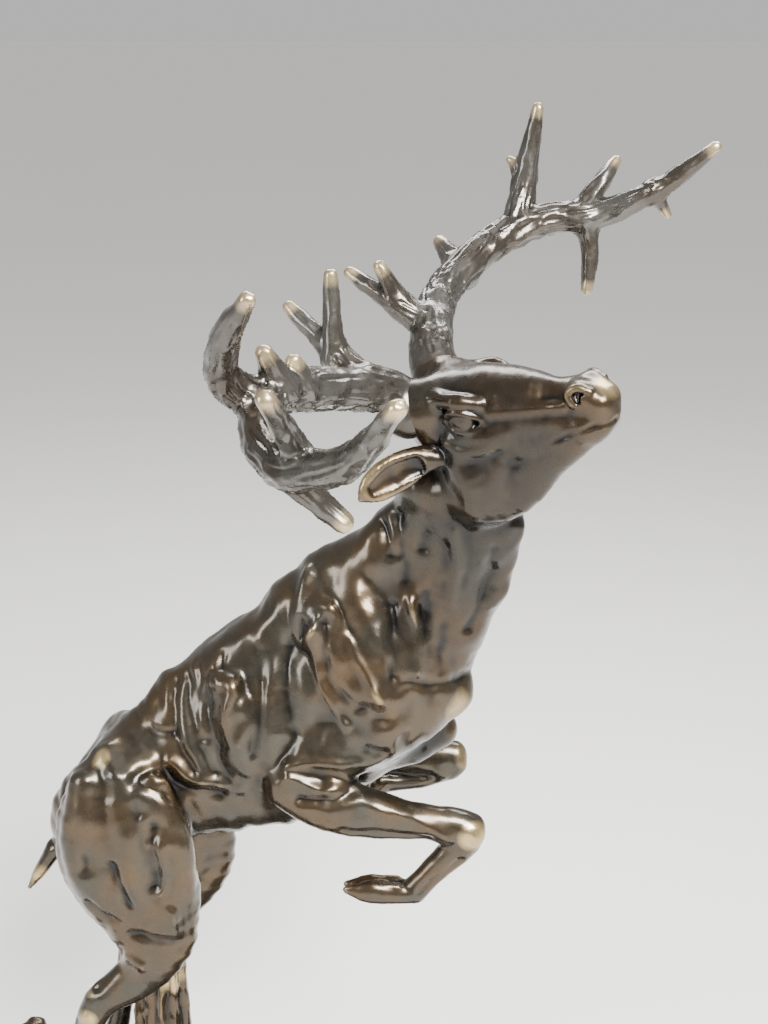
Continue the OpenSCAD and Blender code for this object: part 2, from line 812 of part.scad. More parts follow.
// A limb of oval sections laid along a bone in the XZ plane
module limb(from, angle, sections, stretch) {
    skin([for (r = sections)
        let (p = from + r[0] * stretch * heading(angle), o = heading(angle + 90))
        oval(p + r[1] * o, p + r[2] * o, r[3], across, limb_sides)]);
}

module foreleg(elbow, drop) {
    fore_angle = -drop;
    cannon_angle = fore_angle - cannon_fold;
    toe_angle = fore_angle - toe_fold;
    knee = elbow + forearm_len * heading(fore_angle);
    fetlock = knee + fore_cannon_len * heading(cannon_angle);
    color(bronze)
        union() {
            difference() {
                limb(elbow, fore_angle, FOREARM, forearm_len / 55);
                trunk_skin(-seam);
            }
            limb(knee, cannon_angle, FORE_CANNON, fore_cannon_len / 32);
            limb(fetlock, toe_angle, TOE, toe_len / 18);
            leg_spigot(elbow);
        }
}

module right_foreleg() {
    foreleg(right_elbow, forearm_drop_r);
}

module left_foreleg() {
    foreleg(left_elbow, forearm_drop_l);
}

// Hind leg sections: landmark, offset of the rear edge, offset of the front edge, half width
HIND = [
    [0, -7, 14, 12, 19, 3], [0, -15, 2, 23, 8, 8], [0, -17, -14, 28, -12, 9],
    [1, -33, 10, 11, 10, 9], [1, -28, -2, 8, -2, 8], [2, 5, 17, 30, 15, 7], [2, 4, 10, 21, 4, 6],
    [2, -3, 7, 11, -3, 5.5], [2, -6, 0, 3, -8, 5], [2, -7, -9, 1, -11, 4], [3, 0, 22, 7, 20, 3.4],
    [3, -4, 6, 4, 5, 3.6], [3, -4.5, -1, 4.5, 0, 4.4], [4, -4.5, 4, 3, 6, 3.4],
    [4, -5, -1, 4.5, 1.5, 4.6], [5, -6, 0, 7, 0, 5.5]
];

module hind_leg(marks) {
    color(bronze)
        difference() {
            union() {
                difference() {
                    skin([for (h = HIND)
                        let (mark = marks[h[0]])
                        oval(shifted(mark, h[3], h[4]), shifted(mark, h[1], h[2]),
                            h[5], across, limb_sides)]);
                    trunk_skin(-seam);
                }
                leg_spigot(marks[0]);
            }
            translate([marks[5][0], marks[5][1], marks[5][2] - 1])
                cylinder(h = hoof_pin_len - rock_wall + pin_play + 1, d = hoof_pin_d + fit, $fn = bore_sides);
        }
}

module right_hind_leg() {
    hind_leg([right_hip, right_stifle, right_hock, right_fetlock, right_coronet, right_sole]);
}

module left_hind_leg() {
    hind_leg([left_hip, left_stifle, left_hock, left_fetlock, left_coronet, left_sole]);
}

module hoof_pins() {
    color(steel)
        for (p = [right_sole, left_sole])
            translate([p[0], p[1], p[2] - rock_wall + pin_play])
                cylinder(h = hoof_pin_len - 2 * pin_play, d = hoof_pin_d, $fn = bore_sides);
}

felt_sheet();
marble_plinth();
base_studs();
base_washers();
base_nuts();
rock_base();
tree_stump();
stump_pin();
torso();
core_plugs();
neck();
head();
right_antler();
left_antler();
antler_pins();
right_ear();
left_ear();
tail();
right_foreleg();
left_foreleg();
right_hind_leg();
left_hind_leg();
hoof_pins();
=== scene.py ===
# A leaping bronze stag on a rock and a marble plinth. Each casting is sculpted as a smooth
# distance field about the CAD's skeleton. Lengths are in mm until a mesh is made.

import itertools
import math

import bpy
import numpy as np
from mathutils import Matrix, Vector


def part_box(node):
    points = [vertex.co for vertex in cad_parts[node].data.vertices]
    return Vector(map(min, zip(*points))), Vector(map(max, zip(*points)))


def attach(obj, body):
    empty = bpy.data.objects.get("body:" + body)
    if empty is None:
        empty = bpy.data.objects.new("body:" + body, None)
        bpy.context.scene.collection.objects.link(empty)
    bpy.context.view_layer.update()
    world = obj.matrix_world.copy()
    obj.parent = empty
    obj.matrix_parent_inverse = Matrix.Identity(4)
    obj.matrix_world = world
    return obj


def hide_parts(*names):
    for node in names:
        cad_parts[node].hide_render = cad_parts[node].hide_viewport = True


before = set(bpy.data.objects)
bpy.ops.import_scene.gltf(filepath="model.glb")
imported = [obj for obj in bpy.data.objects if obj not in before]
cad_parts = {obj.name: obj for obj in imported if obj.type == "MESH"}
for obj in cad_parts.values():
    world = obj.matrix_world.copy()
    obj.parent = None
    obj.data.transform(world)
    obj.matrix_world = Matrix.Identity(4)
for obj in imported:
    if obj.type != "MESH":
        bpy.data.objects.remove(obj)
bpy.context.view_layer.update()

MM = 0.001


def in_scene(name, data):
    """A new object in the scene."""
    thing = bpy.data.objects.new(name, data)
    bpy.context.scene.collection.objects.link(thing)
    return thing


# ---------------------------------------------------------------- vectors and frames


def vec(*values):
    return np.array(values, dtype=np.float64)


def unit(v):
    return v / np.linalg.norm(v)


def heading(degrees):
    """A direction in the XZ plane at an angle above +X."""
    a = math.radians(degrees)
    return vec(math.cos(a), 0, math.sin(a))


def with_y(p, y):
    """A point moved across to a given Y."""
    return vec(p[0], y, p[2])


ACROSS = vec(0, 1, 0)


def box_mm(node):
    """A CAD node's lowest and highest corners in mm."""
    low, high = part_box(node)
    return np.array(low) / MM, np.array(high) / MM


# Lengths of the hind leg's bones and of the hoof
HOOF, PASTERN, CANNON, GASKIN, THIGH = 8, 13, 47, 41, 40
HIP_OUT = 15.5
LEFT_FOOT_OUT = 18.5

# The right hind hoof stands on its pin, and the stag is built up from there
pins_low = box_mm("hoof_pins")[0]
leg_low = box_mm("right_hind_leg")[0]
PIN_R = 1.5
right_sole = vec(pins_low[0] + PIN_R, pins_low[1] + PIN_R, leg_low[2])
right_coronet = right_sole + HOOF * heading(110)
right_fetlock = right_coronet + PASTERN * heading(117)
right_hock = right_fetlock + CANNON * heading(78)
right_stifle = right_hock + GASKIN * heading(47)
right_hip = with_y(right_stifle + THIGH * heading(117), -HIP_OUT)
left_hip = with_y(right_hip, HIP_OUT)
left_stifle = with_y(left_hip - THIGH * heading(131), HIP_OUT)
left_hock = left_stifle - GASKIN * heading(50)
left_fetlock = with_y(left_hock - CANNON * heading(80), LEFT_FOOT_OUT)
left_coronet = left_fetlock - PASTERN * heading(117)
left_sole = left_coronet - HOOF * heading(110)

# Trunk frame: s along the trunk from the hips, n out of the back
TRUNK_PITCH = 30
hips = right_hip * vec(1, 0, 1) + vec(-2, 0, -2)
trunk_along = heading(TRUNK_PITCH)
trunk_out = heading(TRUNK_PITCH + 90)


def trunk(s, n, y=0.0):
    """A point along the trunk and out of its back."""
    return hips + s * trunk_along + n * trunk_out + vec(0, y, 0)


# Head frame: forward, left and up from the middle of the head's seat on the neck
HEAD_YAW, HEAD_PITCH, HEAD_ROLL = (math.radians(a) for a in (-31, 1, 12))
head_f = vec(
    math.cos(HEAD_YAW) * math.cos(HEAD_PITCH),
    math.sin(HEAD_YAW) * math.cos(HEAD_PITCH),
    math.sin(HEAD_PITCH),
)
head_flat = vec(-math.sin(HEAD_YAW), math.cos(HEAD_YAW), 0)
head_tall = np.cross(head_f, head_flat)
head_l = head_flat * math.cos(HEAD_ROLL) + head_tall * math.sin(HEAD_ROLL)
head_u = head_tall * math.cos(HEAD_ROLL) - head_flat * math.sin(HEAD_ROLL)
neck_low = (trunk(106, 32) + trunk(116, -26)) / 2
head_seat = with_y(neck_low + 62 * heading(77), -14)
HEAD = np.array([head_f, head_l, head_u])


def head(f, l, u):
    """A point forward, left and up in the head."""
    return head_seat + f * head_f + l * head_l + u * head_u


# ---------------------------------------------------------------- distance fields

THINNEST = 0.15


def resample(points, radii, steps):
    """A smooth path through control points, with its radii."""
    points = np.asarray(points, float)
    radii = np.asarray(radii, float)
    both = np.hstack([points, radii])
    if len(both) < 3:
        return points, radii
    ends = np.vstack([2 * both[0] - both[1], both, 2 * both[-1] - both[-2]])
    out = []
    for i in range(len(both) - 1):
        a, b, c, d = ends[i : i + 4]
        square = 2 * a - 5 * b + 4 * c - d
        cube = 3 * b - a - 3 * c + d
        for t in np.arange(steps) / steps:
            out.append(0.5 * (2 * b + (c - a) * t + square * t**2 + cube * t**3))
    out.append(both[-1])
    out = np.array(out)
    return out[:, :3], np.maximum(out[:, 3:], THINNEST)


CORNERS = list(itertools.product((0, 1), repeat=3))


class Field:
    """A signed distance grid in millimetres, built up by smooth unions and cuts."""

    FAR = 9.0

    def __init__(self, low, high, step):
        self.step = step
        self.low = np.asarray(low, float)
        counts = np.ceil((np.asarray(high) - self.low) / step).astype(int) + 1
        self.axes = [self.low[i] + step * np.arange(counts[i]) for i in range(3)]
        self.d = np.full(counts, self.FAR, np.float32)

    def window(self, low, high):
        """The slices of the grid that hold a box."""
        slices = []
        for i in range(3):
            a = max(int((low[i] - self.low[i]) / self.step), 0)
            b = min(int((high[i] - self.low[i]) / self.step) + 2, self.d.shape[i])
            slices.append(slice(a, max(b, a)))
        return tuple(slices)

    def coords(self, win):
        x, y, z = (self.axes[i][win[i]].astype(np.float32) for i in range(3))
        return x[:, None, None], y[None, :, None], z[None, None, :]

    def whole(self):
        """The slices of the whole grid."""
        return tuple(slice(0, count) for count in self.d.shape)

    def chain(self, points, radii, side, margin, steps):
        """The distance to a bent tube of oval section; radii are across and in plane."""
        radii = [(r, r) if np.isscalar(r) else r for r in radii]
        points, radii = resample(points, radii, steps)
        reach = radii.max() + margin
        win = self.window(points.min(0) - reach, points.max(0) + reach)
        if any(s.stop <= s.start for s in win):
            return None, None
        out = np.full([s.stop - s.start for s in win], self.FAR, np.float32)
        for i in range(len(points) - 1):
            p, q = points[i], points[i + 1]
            reach = max(radii[i].max(), radii[i + 1].max()) + margin
            sub = self.window(np.minimum(p, q) - reach, np.maximum(p, q) + reach)
            if any(s.stop <= s.start for s in sub):
                continue
            x, y, z = self.coords(sub)
            x, y, z = x - p[0], y - p[1], z - p[2]
            span = q - p
            length = np.linalg.norm(span)
            along = span / length
            lat = unit(side - along * (side @ along))
            top = np.cross(along, lat)
            t = x * along[0] + y * along[1] + z * along[2]
            over = t - np.clip(t, 0, length)
            f = np.clip(t / length, 0, 1)
            a = radii[i][0] + f * (radii[i + 1][0] - radii[i][0])
            b = radii[i][1] + f * (radii[i + 1][1] - radii[i][1])
            e = np.minimum(a, b)
            u = (x * lat[0] + y * lat[1] + z * lat[2]) / a
            v = (x * top[0] + y * top[1] + z * top[2]) / b
            w = over / e
            # An oval's distance, good to a few percent near its surface
            k0 = np.sqrt(u * u + v * v + w * w) + 1e-6
            k1 = np.sqrt((u / a) ** 2 + (v / b) ** 2 + (w / e) ** 2) + 1e-7
            d = k0 * (k0 - 1) / k1
            local = tuple(slice(s.start - g.start, s.stop - g.start) for s, g in zip(sub, win))
            out[local] = np.minimum(out[local], d)
        return win, out

    def add(self, points, radii, blend=2.0, side=ACROSS, steps=3, sign=1):
        """A smooth union, or a smooth cut where the sign is -1."""
        win, d = self.chain(points, radii, side, blend + 2 * self.step, steps)
        if win is None:
            return
        old = sign * self.d[win]
        h = np.clip(0.5 + 0.5 * (old - d) / blend, 0, 1)
        self.d[win] = sign * (old + (d - old) * h - blend * h * (1 - h))

    def cut(self, points, radii, blend=1.0, side=ACROSS, steps=3):
        self.add(points, radii, blend, side, steps, -1)

    def surface(self):
        """Surface-nets vertices and quads of the zero level."""
        d = self.d
        inside = d < 0
        n = np.array(d.shape) - 1
        count = np.zeros(n, np.uint8)
        for i, j, k in CORNERS:
            count += inside[i : n[0] + i, j : n[1] + j, k : n[2] + k]
        cells = np.argwhere((count > 0) & (count < len(CORNERS)))
        corner = {c: d[tuple((cells + c).T)] for c in CORNERS}
        total = np.zeros((len(cells), 3))
        hits = np.zeros(len(cells))
        for axis in range(3):
            for base in (c for c in CORNERS if c[axis] == 0):
                end = tuple(1 if i == axis else base[i] for i in range(3))
                a, b = corner[base], corner[end]
                cross = (a < 0) != (b < 0)
                point = np.tile(np.array(base, float), (len(cells), 1))
                point[:, axis] = np.where(cross, a / np.where(cross, a - b, 1), 0)
                total += point * cross[:, None]
                hits += cross
        verts = self.low + (cells + total / hits[:, None]) * self.step
        index = np.full(n, -1, np.int32)
        index[tuple(cells.T)] = np.arange(len(cells))
        quads = []
        for axis in range(3):
            o1, o2 = (axis + 1) % 3, (axis + 2) % 3
            lo = [slice(1, n[a]) for a in range(3)]
            lo[axis] = slice(0, n[axis])
            hi = list(lo)
            hi[axis] = slice(1, n[axis] + 1)
            a, b = inside[tuple(lo)], inside[tuple(hi)]
            edges = np.argwhere(a != b)
            flip = b[tuple(edges.T)]
            edges = edges + [s.start for s in lo]
            step1, step2 = np.eye(3, dtype=int)[[o1, o2]]
            ring = [edges - step1 - step2, edges - step2, edges, edges - step1]
            quad = np.stack([index[tuple(r.T)] for r in ring], 1)
            quad[flip] = quad[flip][:, ::-1]
            quads.append(quad)
        return verts, np.concatenate(quads)


class Sculpt:
    """Several grids that every form is sent to."""

    def __init__(self, *fields):
        self.fields = fields

    def add(self, *form, **more):
        for field in self.fields:
            field.add(*form, **more)

    def cut(self, *form, **more):
        for field in self.fields:
            field.cut(*form, **more)

    def both(self, points, radii, blend=2.0, cut=False, place=vec, side=ACROSS):
        """Adds or cuts a form and its mirror image across the middle."""
        for m in (1, -1):
            path = [place(p[0], m * p[1], p[2]) for p in points]
            (self.cut if cut else self.add)(path, radii, blend, side)


# ---------------------------------------------------------------- the stag's main forms

# Paths and oval radii (across, in plane) of each casting; their nearest one names each face
TORSO = (
    [trunk(-15, -7), trunk(-8, -5), trunk(5.5, -3.5), trunk(21, -1.5), trunk(38, -2.7),
     trunk(57, -4.5), trunk(75, -3.5), trunk(92, 0), trunk(104, 1.5)],
    [(8, 9), (12.5, 16.5), (14.5, 21), (14.5, 23.5), (16, 28.3), (17.5, 32.5), (18, 32), (17, 28.5),
     (15, 27.5)],
)
NECK = (
    [(46, 0, 215), (55, -1, 229), (63, -3.5, 245), (67.5, -8, 262), (68, -11.5, 273)],
    [(15, 27), (13.5, 23), (12.3, 20.2), (12, 18.5), (12, 19)],
)
RIGHT_HIND = (
    [(-38, -13.5, 181), (-36, -15, 168), (-34.5, -16, 152), (-29, -16, 138),
     (-26.5, -16, 125.5), (-29.5, -16, 114), (-37.5, -16, 106), (-45.5, -16.3, 100),
     (-51, -16.6, 88), (-55.5, -17, 72),
     (-58.8, -17.2, 59.5), (-59.4, -17.3, 54.5), (-56.6, -17.4, 47)],
    [(6.5, 13), (8.9, 19.5), (9.4, 21), (8.8, 17.6), (7.6, 13.6), (6.2, 9), (5.2, 6.6), (4.6, 5.6),
     (3.5, 4.4), (3.1, 3.7), (3.5, 4.3), (4.1, 4.8), (3.5, 3.7)],
)
LEFT_HIND = (
    [(-37, 13.5, 181), (-31, 15, 168), (-26, 16, 154), (-20, 16, 142), (-18.5, 16, 131),
     (-23, 16, 119.5), (-31, 16.5, 110.5), (-38.5, 17, 104.5), (-42, 17.3, 91),
     (-45.3, 17.8, 75),
     (-48, 18.2, 63.5), (-48.4, 18.4, 58.5), (-45.6, 18.5, 51)],
    [(5.5, 11), (8.6, 18), (9.2, 20), (8.8, 16.4), (7.6, 13), (6.2, 9), (5.2, 6.6), (4.6, 5.6),
     (3.5, 4.4), (3.1, 3.7), (3.5, 4.3), (4.1, 4.8), (3.5, 3.7)],
)
RIGHT_FORE = (
    [(17, -15.5, 179), (27, -17.5, 173.8), (37, -17.6, 170.4), (50, -17.3, 167.3),
     (60, -17.2, 165.8),
     (68, -17, 164), (73, -17, 162.6)],
    [(6.5, 8.5), (7, 9.4), (6.6, 8.7), (5.3, 6.6), (4.7, 5.7), (4.9, 6.3), (4.6, 6)],
)
RIGHT_CANNON = (
    [(71, -17, 159.5), (66, -16.8, 153.6), (60, -16.5, 147), (55, -16.3, 141.2)],
    [(4.2, 5.4), (3.8, 4.8), (3.4, 4.2), (3.9, 4.5)],
)
LEFT_FORE = (
    [(15, 15.5, 177), (26, 18, 174.5), (38, 19.5, 172), (50, 20.5, 170), (60, 21, 169),
     (65, 21.3, 168.5), (69, 21.5, 168)],
    [(6.5, 8.5), (7, 9.4), (6.4, 8.4), (5.2, 6.5), (4.7, 5.7), (4.9, 6.3), (4.6, 6)],
)
LEFT_CANNON = (
    [(67, 21.5, 165), (61, 21.4, 162.5), (52, 21, 160.5), (45, 20.5, 160)],
    [(4.2, 5.2), (3.8, 4.6), (3.4, 4), (3.9, 4.4)],
)
TAIL = (
    [(-54, 0, 150), (-60, 0, 147), (-65, -0.5, 140), (-69.5, -1, 133)],
    [(2.6, 2.4), (3.4, 2.6), (3, 2), (0.9, 0.9)],
)
SKULL = (
    [(0, 0, 9), (8, 0, 13), (16, 0, 14.5), (25, 0, 15.5), (34, 0, 18), (42, 0, 20.3), (46, 0, 20.8)],
    [(11.5, 12.5), (12.2, 13.3), (11, 12), (8.8, 10.5), (7, 8.8), (6.4, 8), (5.2, 6.4)],
)
EAR = (
    [(1, 11, 4), (-4, 15.5, 3.5), (-9, 21, 2), (-13, 26, -0.5), (-15, 29, -2.5)],
    [(2.6, 2.8), (5, 2.6), (5.6, 2.4), (4, 1.8), (0.9, 0.9)],
)
EAR_CUP = ([(-2.6, 16.8, 3.6), (-7.5, 22.3, 2.2), (-11.8, 27.1, -0.2)], [(3.2, 2), (4.2, 2.1), (2.6, 1.4)])


def placed_in_head(points, mirror=1):
    return [head(p[0], mirror * p[1], p[2]) for p in points]


BODY_STEP = 0.65
coarse = Field((-78, -54, 33), (114, 31, 320), BODY_STEP)
fine = Field((37, -52, 254), (114, 20, 320), 0.42)
body = Sculpt(coarse, fine)


def add_limb(form, blend):
    body.add(form[0], form[1], blend)


add_limb(TORSO, 3)
add_limb(NECK, 6)
for limb in (RIGHT_HIND, LEFT_HIND):
    add_limb(limb, 4)
for limb in (RIGHT_FORE, LEFT_FORE):
    add_limb(limb, 3)
for limb in (RIGHT_CANNON, LEFT_CANNON, TAIL):
    add_limb(limb, 1.5)

# Chest, shoulders, haunches and the tucked belly
body.both([(40, 9, 196), (52, 8, 203), (60, 7, 208)], [(8, 14), (8.5, 15), (7, 11)], 5)
body.add([(75, -14, 268), (75.5, -12, 257)], [(7, 6), (7, 6)], 8)
body.add([(69, -1, 201.5), (61, -1, 197.5), (49, -1, 191), (41, -1, 187)], [4, 4.4, 4.4, 4], 9)
body.add([(44, 4, 181), (54, 4, 183), (63, 7, 186)], [7, 7.5, 6.5], 5)
body.both([(57, 5, 201), (64, 4.5, 204)], [(6.5, 6.5), (6, 6)], 2)
body.both([(27, 13, 234), (33, 15, 219), (41, 15, 205)], [(3.2, 5), (4.5, 6.5), (5, 7)], 4)
body.both([(38, 11, 238), (43, 13.5, 224), (46, 14.5, 208)], [(4, 5), (5, 6.5), (5, 6)], 3.5)
body.both([(54, 9, 240), (55, 11, 225), (53, 12, 210)], [(4, 4.5), (4.5, 5.5), (5, 5)], 3.5)
body.both([(44, 13.5, 198), (47, 13.5, 200)], [(6, 7), (6, 6.5)], 3)
body.both([(-2, 13, 210), (1, 14, 198), (5, 13, 185)], [(4.5, 5), (5, 6.5), (5, 5.5)], 2.5)
for points, radii in (
    ([(-26, 19, 178), (-20, 20, 160), (-20, 19.5, 142), (-23, 18.5, 130)],
     [(4.5, 6.5), (5, 7), (4.5, 6.5), (4, 5)]),
    ([(-44, 18, 180), (-46, 20, 162), (-43, 20, 146), (-35, 19, 130)],
     [(4, 6), (5, 7.5), (4.8, 7), (4, 5)]),
    ([(-35, 18.5, 182), (-33, 21, 165), (-32, 21, 148), (-29, 19.5, 132)],
     [(4, 4.5), (4.5, 5), (4.3, 5), (3.5, 4)]),
):
    body.add([vec(x, -y, z) for x, y, z in points], radii, 2)
    # The far thigh swings forward, and its muscles start lower
    body.add([vec(x + (182 - z) / 10, y, z + 2.5) for x, y, z in points[1:]], radii[1:], 2)
body.add([(30, -20, 178), (41, -19.8, 173.5), (52, -19.4, 169.5)],
         [(3.2, 3.6), (3, 3.4), (2.4, 2.6)], 2)
body.both([(44, 13, 195), (31, 14.5, 189), (17, 14.5, 184)], [(6, 9), (6.5, 10), (5.5, 8)], 4)
body.both([(-38, 8.5, 184), (-30, 11, 178)], [(5.5, 6.5), (5, 9)], 6)
body.add([trunk(40, 21), trunk(62, 25), trunk(84, 27), trunk(97, 27)],
         [(6, 4), (8, 5), (9, 5.5), (8, 5)], 9)
body.add([(20, 0, 232), (32, -1, 241), (42, -3, 248), (49, -5, 256)], [8, 9, 9, 8], 8)
body.add([(77, -10, 263), (76, -8, 250), (73, -6, 238), (69, -4, 228)],
         [(6, 7), (6, 7.5), (6.5, 7.5), (7, 7)], 5)

# ---- Head

skull_points = placed_in_head(SKULL[0])
body.add(skull_points, SKULL[1], 5, side=head_l)
body.add(placed_in_head([(4, 0, -8), (9, 0, -8)]), [(10.5, 11), (9, 9)], 5, side=head_l)
body.add(placed_in_head([(0, 0, 21), (12, 0, 22), (26, 0, 22)]),
         [(9, 4), (8.5, 4.5), (6, 4)], 7, side=head_l)


def on_head(points, radii, blend=1.5, cut=False, side=head_l):
    body.both(points, radii, blend, cut, head, side)


# Jaws, cheeks, brows, cheekbones, bridge of the nose, muzzle and chin
on_head([(9, 6.5, -7), (20, 5.5, -5), (31, 4, 4.5), (43, 3, 14)], [(4, 9), (4, 8.2), (3.8, 6), (3.2, 4)], 6)
on_head([(9, 8.5, 0), (16, 8, -2)], [(4.2, 12), (3.8, 10)], 6)
on_head([(15, 9.6, 19), (26, 7.6, 20.6), (38, 6.2, 22)], [1.4, 1.5, 1.4], 1.5)
on_head([(-9, 9.5, 19), (-4, 8.5, 18)], [7.2, 7.2], 6)
on_head([(3, 11.4, 22.2), (8.6, 12.8, 23), (14.6, 10.8, 22)], [2, 2.3, 1.7], 2.2)
on_head([(7, 10.8, 11.5), (14, 10.4, 11.8), (21, 8.4, 13)], [2, 2.1, 1.6], 3.5)
on_head([(20, 7.6, 13), (28, 6.2, 15), (36, 5.2, 17)], [(2, 2.6), (2, 2.8), (2, 2.6)], 3)
on_head([(42, 4, 25), (47, 3, 22.5)], [(3.4, 3.8), (3.2, 3.6)], 2.5)
on_head([(43, 3, 15), (46.5, 2.4, 16)], [3.4, 3], 2.5)

# Eyes with their lids and tear lines, cheeks, nostrils, mouth and cupped ears
on_head([(6.4, 13.6, 17.6), (9.6, 13.8, 17.6), (13, 12.4, 17)], [2.2, 2.9, 1.9], 1.4, cut=True)
on_head([(9.8, 11, 17.4), (10.3, 10.8, 17.3)], [3.7, 3.7], 0.2)
on_head([(5.2, 12.4, 16.6), (7.2, 14, 19.6), (11, 14, 20.2), (14.4, 12.1, 18.6), (17, 10.2, 16.2)],
        [0.6, 0.8, 0.8, 0.7, 0.4], 1.1)
on_head([(5.2, 12.4, 16.6), (8.2, 13.9, 14.6), (12, 13, 14.2), (17, 10.2, 16.2)], [0.6, 0.7, 0.7, 0.4], 1.1)
on_head([(17, 10.2, 15), (21, 8.6, 12)], [0.6, 0.4], 0.6, cut=True)
on_head([(5, 12.8, 9.5), (10, 12.8, 8), (16, 11.4, 9), (20, 10, 11)], [1.1, 1.3, 1.1, 0.6], 2.4)
on_head([(8, 10.4, 3), (11, 10.6, -3), (10, 10, -9)], [3, 3.6, 3], 5)
on_head([(22, 7, 9), (28, 5.6, 9), (34, 4.4, 11)], [2, 2.3, 2], 4)
on_head([(24, 5.8, 1), (31, 4.6, 4.5), (37, 3.4, 9)], [1.6, 1.8, 1.6], 3)
on_head([(6, 12.8, 11.6), (11, 12.2, 11), (17, 10.2, 12.6)], [0.7, 0.8, 0.6], 1)
on_head([(44.4, 5.6, 27.2), (42, 6.6, 26.4), (42.4, 7, 24.4)], [1.2, 1.4, 1], 0.6, cut=True)
on_head([(45.6, 5.4, 26.8), (42, 6, 27.6), (39.8, 6.7, 26), (41, 7.1, 23.4)], [0.8, 1.1, 1.1, 0.8], 0.9)
on_head(*EAR, 1.5, side=head_u)
on_head(*EAR_CUP, 0.8, cut=True, side=head_u)
MOUTH = [(50.2, 1.5, 18), (46.5, 5.8, 17.2), (40, 6.8, 14.6), (34, 7, 11.6)]

# ---- Hooves and dewclaws


def hoof(coronet, tip, sole_z, spread):
    """A standing hoof: two claws with a cleft between them, and two dewclaws behind."""
    for m in (1, -1):
        top = coronet + vec(0, m * spread * 0.8, 0)
        low = (coronet + tip) / 2 + vec(-1.5, m * spread, -1.5)
        end = tip + vec(0, m * spread * 0.7, 1.2)
        body.add([top, low, end], [(2.2, 3.6), (2.5, 3.9), (1.6, 1.8)], 0.5)
        claw = coronet + vec(-5, m * spread * 0.8, 4.5)
        body.add([claw, claw + vec(-2, 0, -3.6)], [1.5, 0.8], 0.6)
    reach = vec(9, 9, 0)
    win = coarse.window(coronet - reach - vec(0, 0, 16), tip + reach + vec(0, 0, 4))
    coarse.d[win] = np.maximum(coarse.d[win], sole_z - coarse.coords(win)[2])


hoof(right_coronet, right_sole + vec(5.5, 0, 0), right_sole[2], 2.4)
hoof(left_coronet, left_sole + vec(5.5, 0, 0), left_sole[2], 2.4)


def fore_hoof(fetlock, middle, tip):
    """A hoof that hangs folded, with its claws and dewclaws."""
    for m in (1, -1):
        s = vec(0, m * 1.9, 0)
        body.add([fetlock + s, middle + s, tip + s * 0.8], [(2.4, 3.1), (2.7, 3.7), (1, 1.3)], 0.6)
        body.add([fetlock + 1.3 * s + vec(-3, 0, 3), fetlock + 1.3 * s + vec(-6.5, 0, 4)], [1.3, 0.7], 0.6)


fore_hoof(vec(53.5, -16.2, 140.8), vec(42, -16.2, 141.8), vec(34, -16.2, 142.6))
fore_hoof(vec(45, 20.5, 159.5), vec(40, 20.5, 150), vec(37.5, 20.5, 143.5))

# ---------------------------------------------------------------- surface detail

LATTICE_SIZE = 32
LATTICE = np.random.default_rng(7).random([LATTICE_SIZE] * 3).astype(np.float32)


def noise(p):
    """Smooth value noise from -1 to 1, one lump to each unit of length."""
    base = np.floor(p).astype(int)
    f = p - base
    f = f * f * (3 - 2 * f)
    total = np.zeros(len(p))
    for corner in CORNERS:
        share = np.where(corner, f, 1 - f).prod(1)
        total += share * LATTICE[tuple(((base + corner) % LATTICE_SIZE).T)]
    return 2 * total - 1


def near_path(p, path):
    """Each point's distance to a bent line, and the place along it, direction and point there."""
    path = np.asarray(path, float)
    best = np.full(len(p), 1e9)
    place = np.zeros(len(p))
    way = np.zeros(p.shape)
    foot = np.zeros(p.shape)
    run = 0.0
    for a, b in zip(path[:-1], path[1:]):
        span = b - a
        length = np.linalg.norm(span)
        t = np.clip((p - a) @ span / length**2, 0, 1)
        spot = a + t[:, None] * span
        d = np.linalg.norm(p - spot, axis=1)
        closer = d < best
        best[closer] = d[closer]
        place[closer] = run + t[closer] * length
        way[closer] = span / length
        foot[closer] = spot[closer]
        run += length
    return best, place, way, foot


def normals_of(verts, quads):
    a, b, c, d = (verts[quads[:, i]] for i in range(4))
    face = np.cross(c - a, d - b)
    out = np.zeros(verts.shape)
    for i in range(4):
        for axis in range(3):
            out[:, axis] += np.bincount(quads[:, i], face[:, axis], len(verts))
    return out / np.maximum(np.linalg.norm(out, axis=1), 1e-9)[:, None]


def links_of(quads):
    """Both ends of every quad's edges, as two lists of vertices."""
    pairs = np.concatenate([quads[:, [i, (i + 1) % 4]] for i in range(4)])
    return pairs[:, 0], pairs[:, 1]


def smoothed(values, links, rounds):
    """Values at vertices, each moved halfway to its neighbours' mean, some times over."""
    a, b = links
    count = np.maximum(np.bincount(a, minlength=len(values)), 1)
    out = values.astype(float)
    for _ in range(rounds):
        columns = out.reshape(len(out), -1)
        mean = [np.bincount(a, columns[b, i], len(columns)) / count for i in range(columns.shape[1])]
        out = (0.5 * columns + 0.5 * np.stack(mean, 1)).reshape(values.shape)
    return out


def step_up(x, low, high):
    """0 up to low, 1 from high on, and a smooth slope between them."""
    t = np.clip((x - low) / (high - low), 0, 1)
    return t * t * (3 - 2 * t)


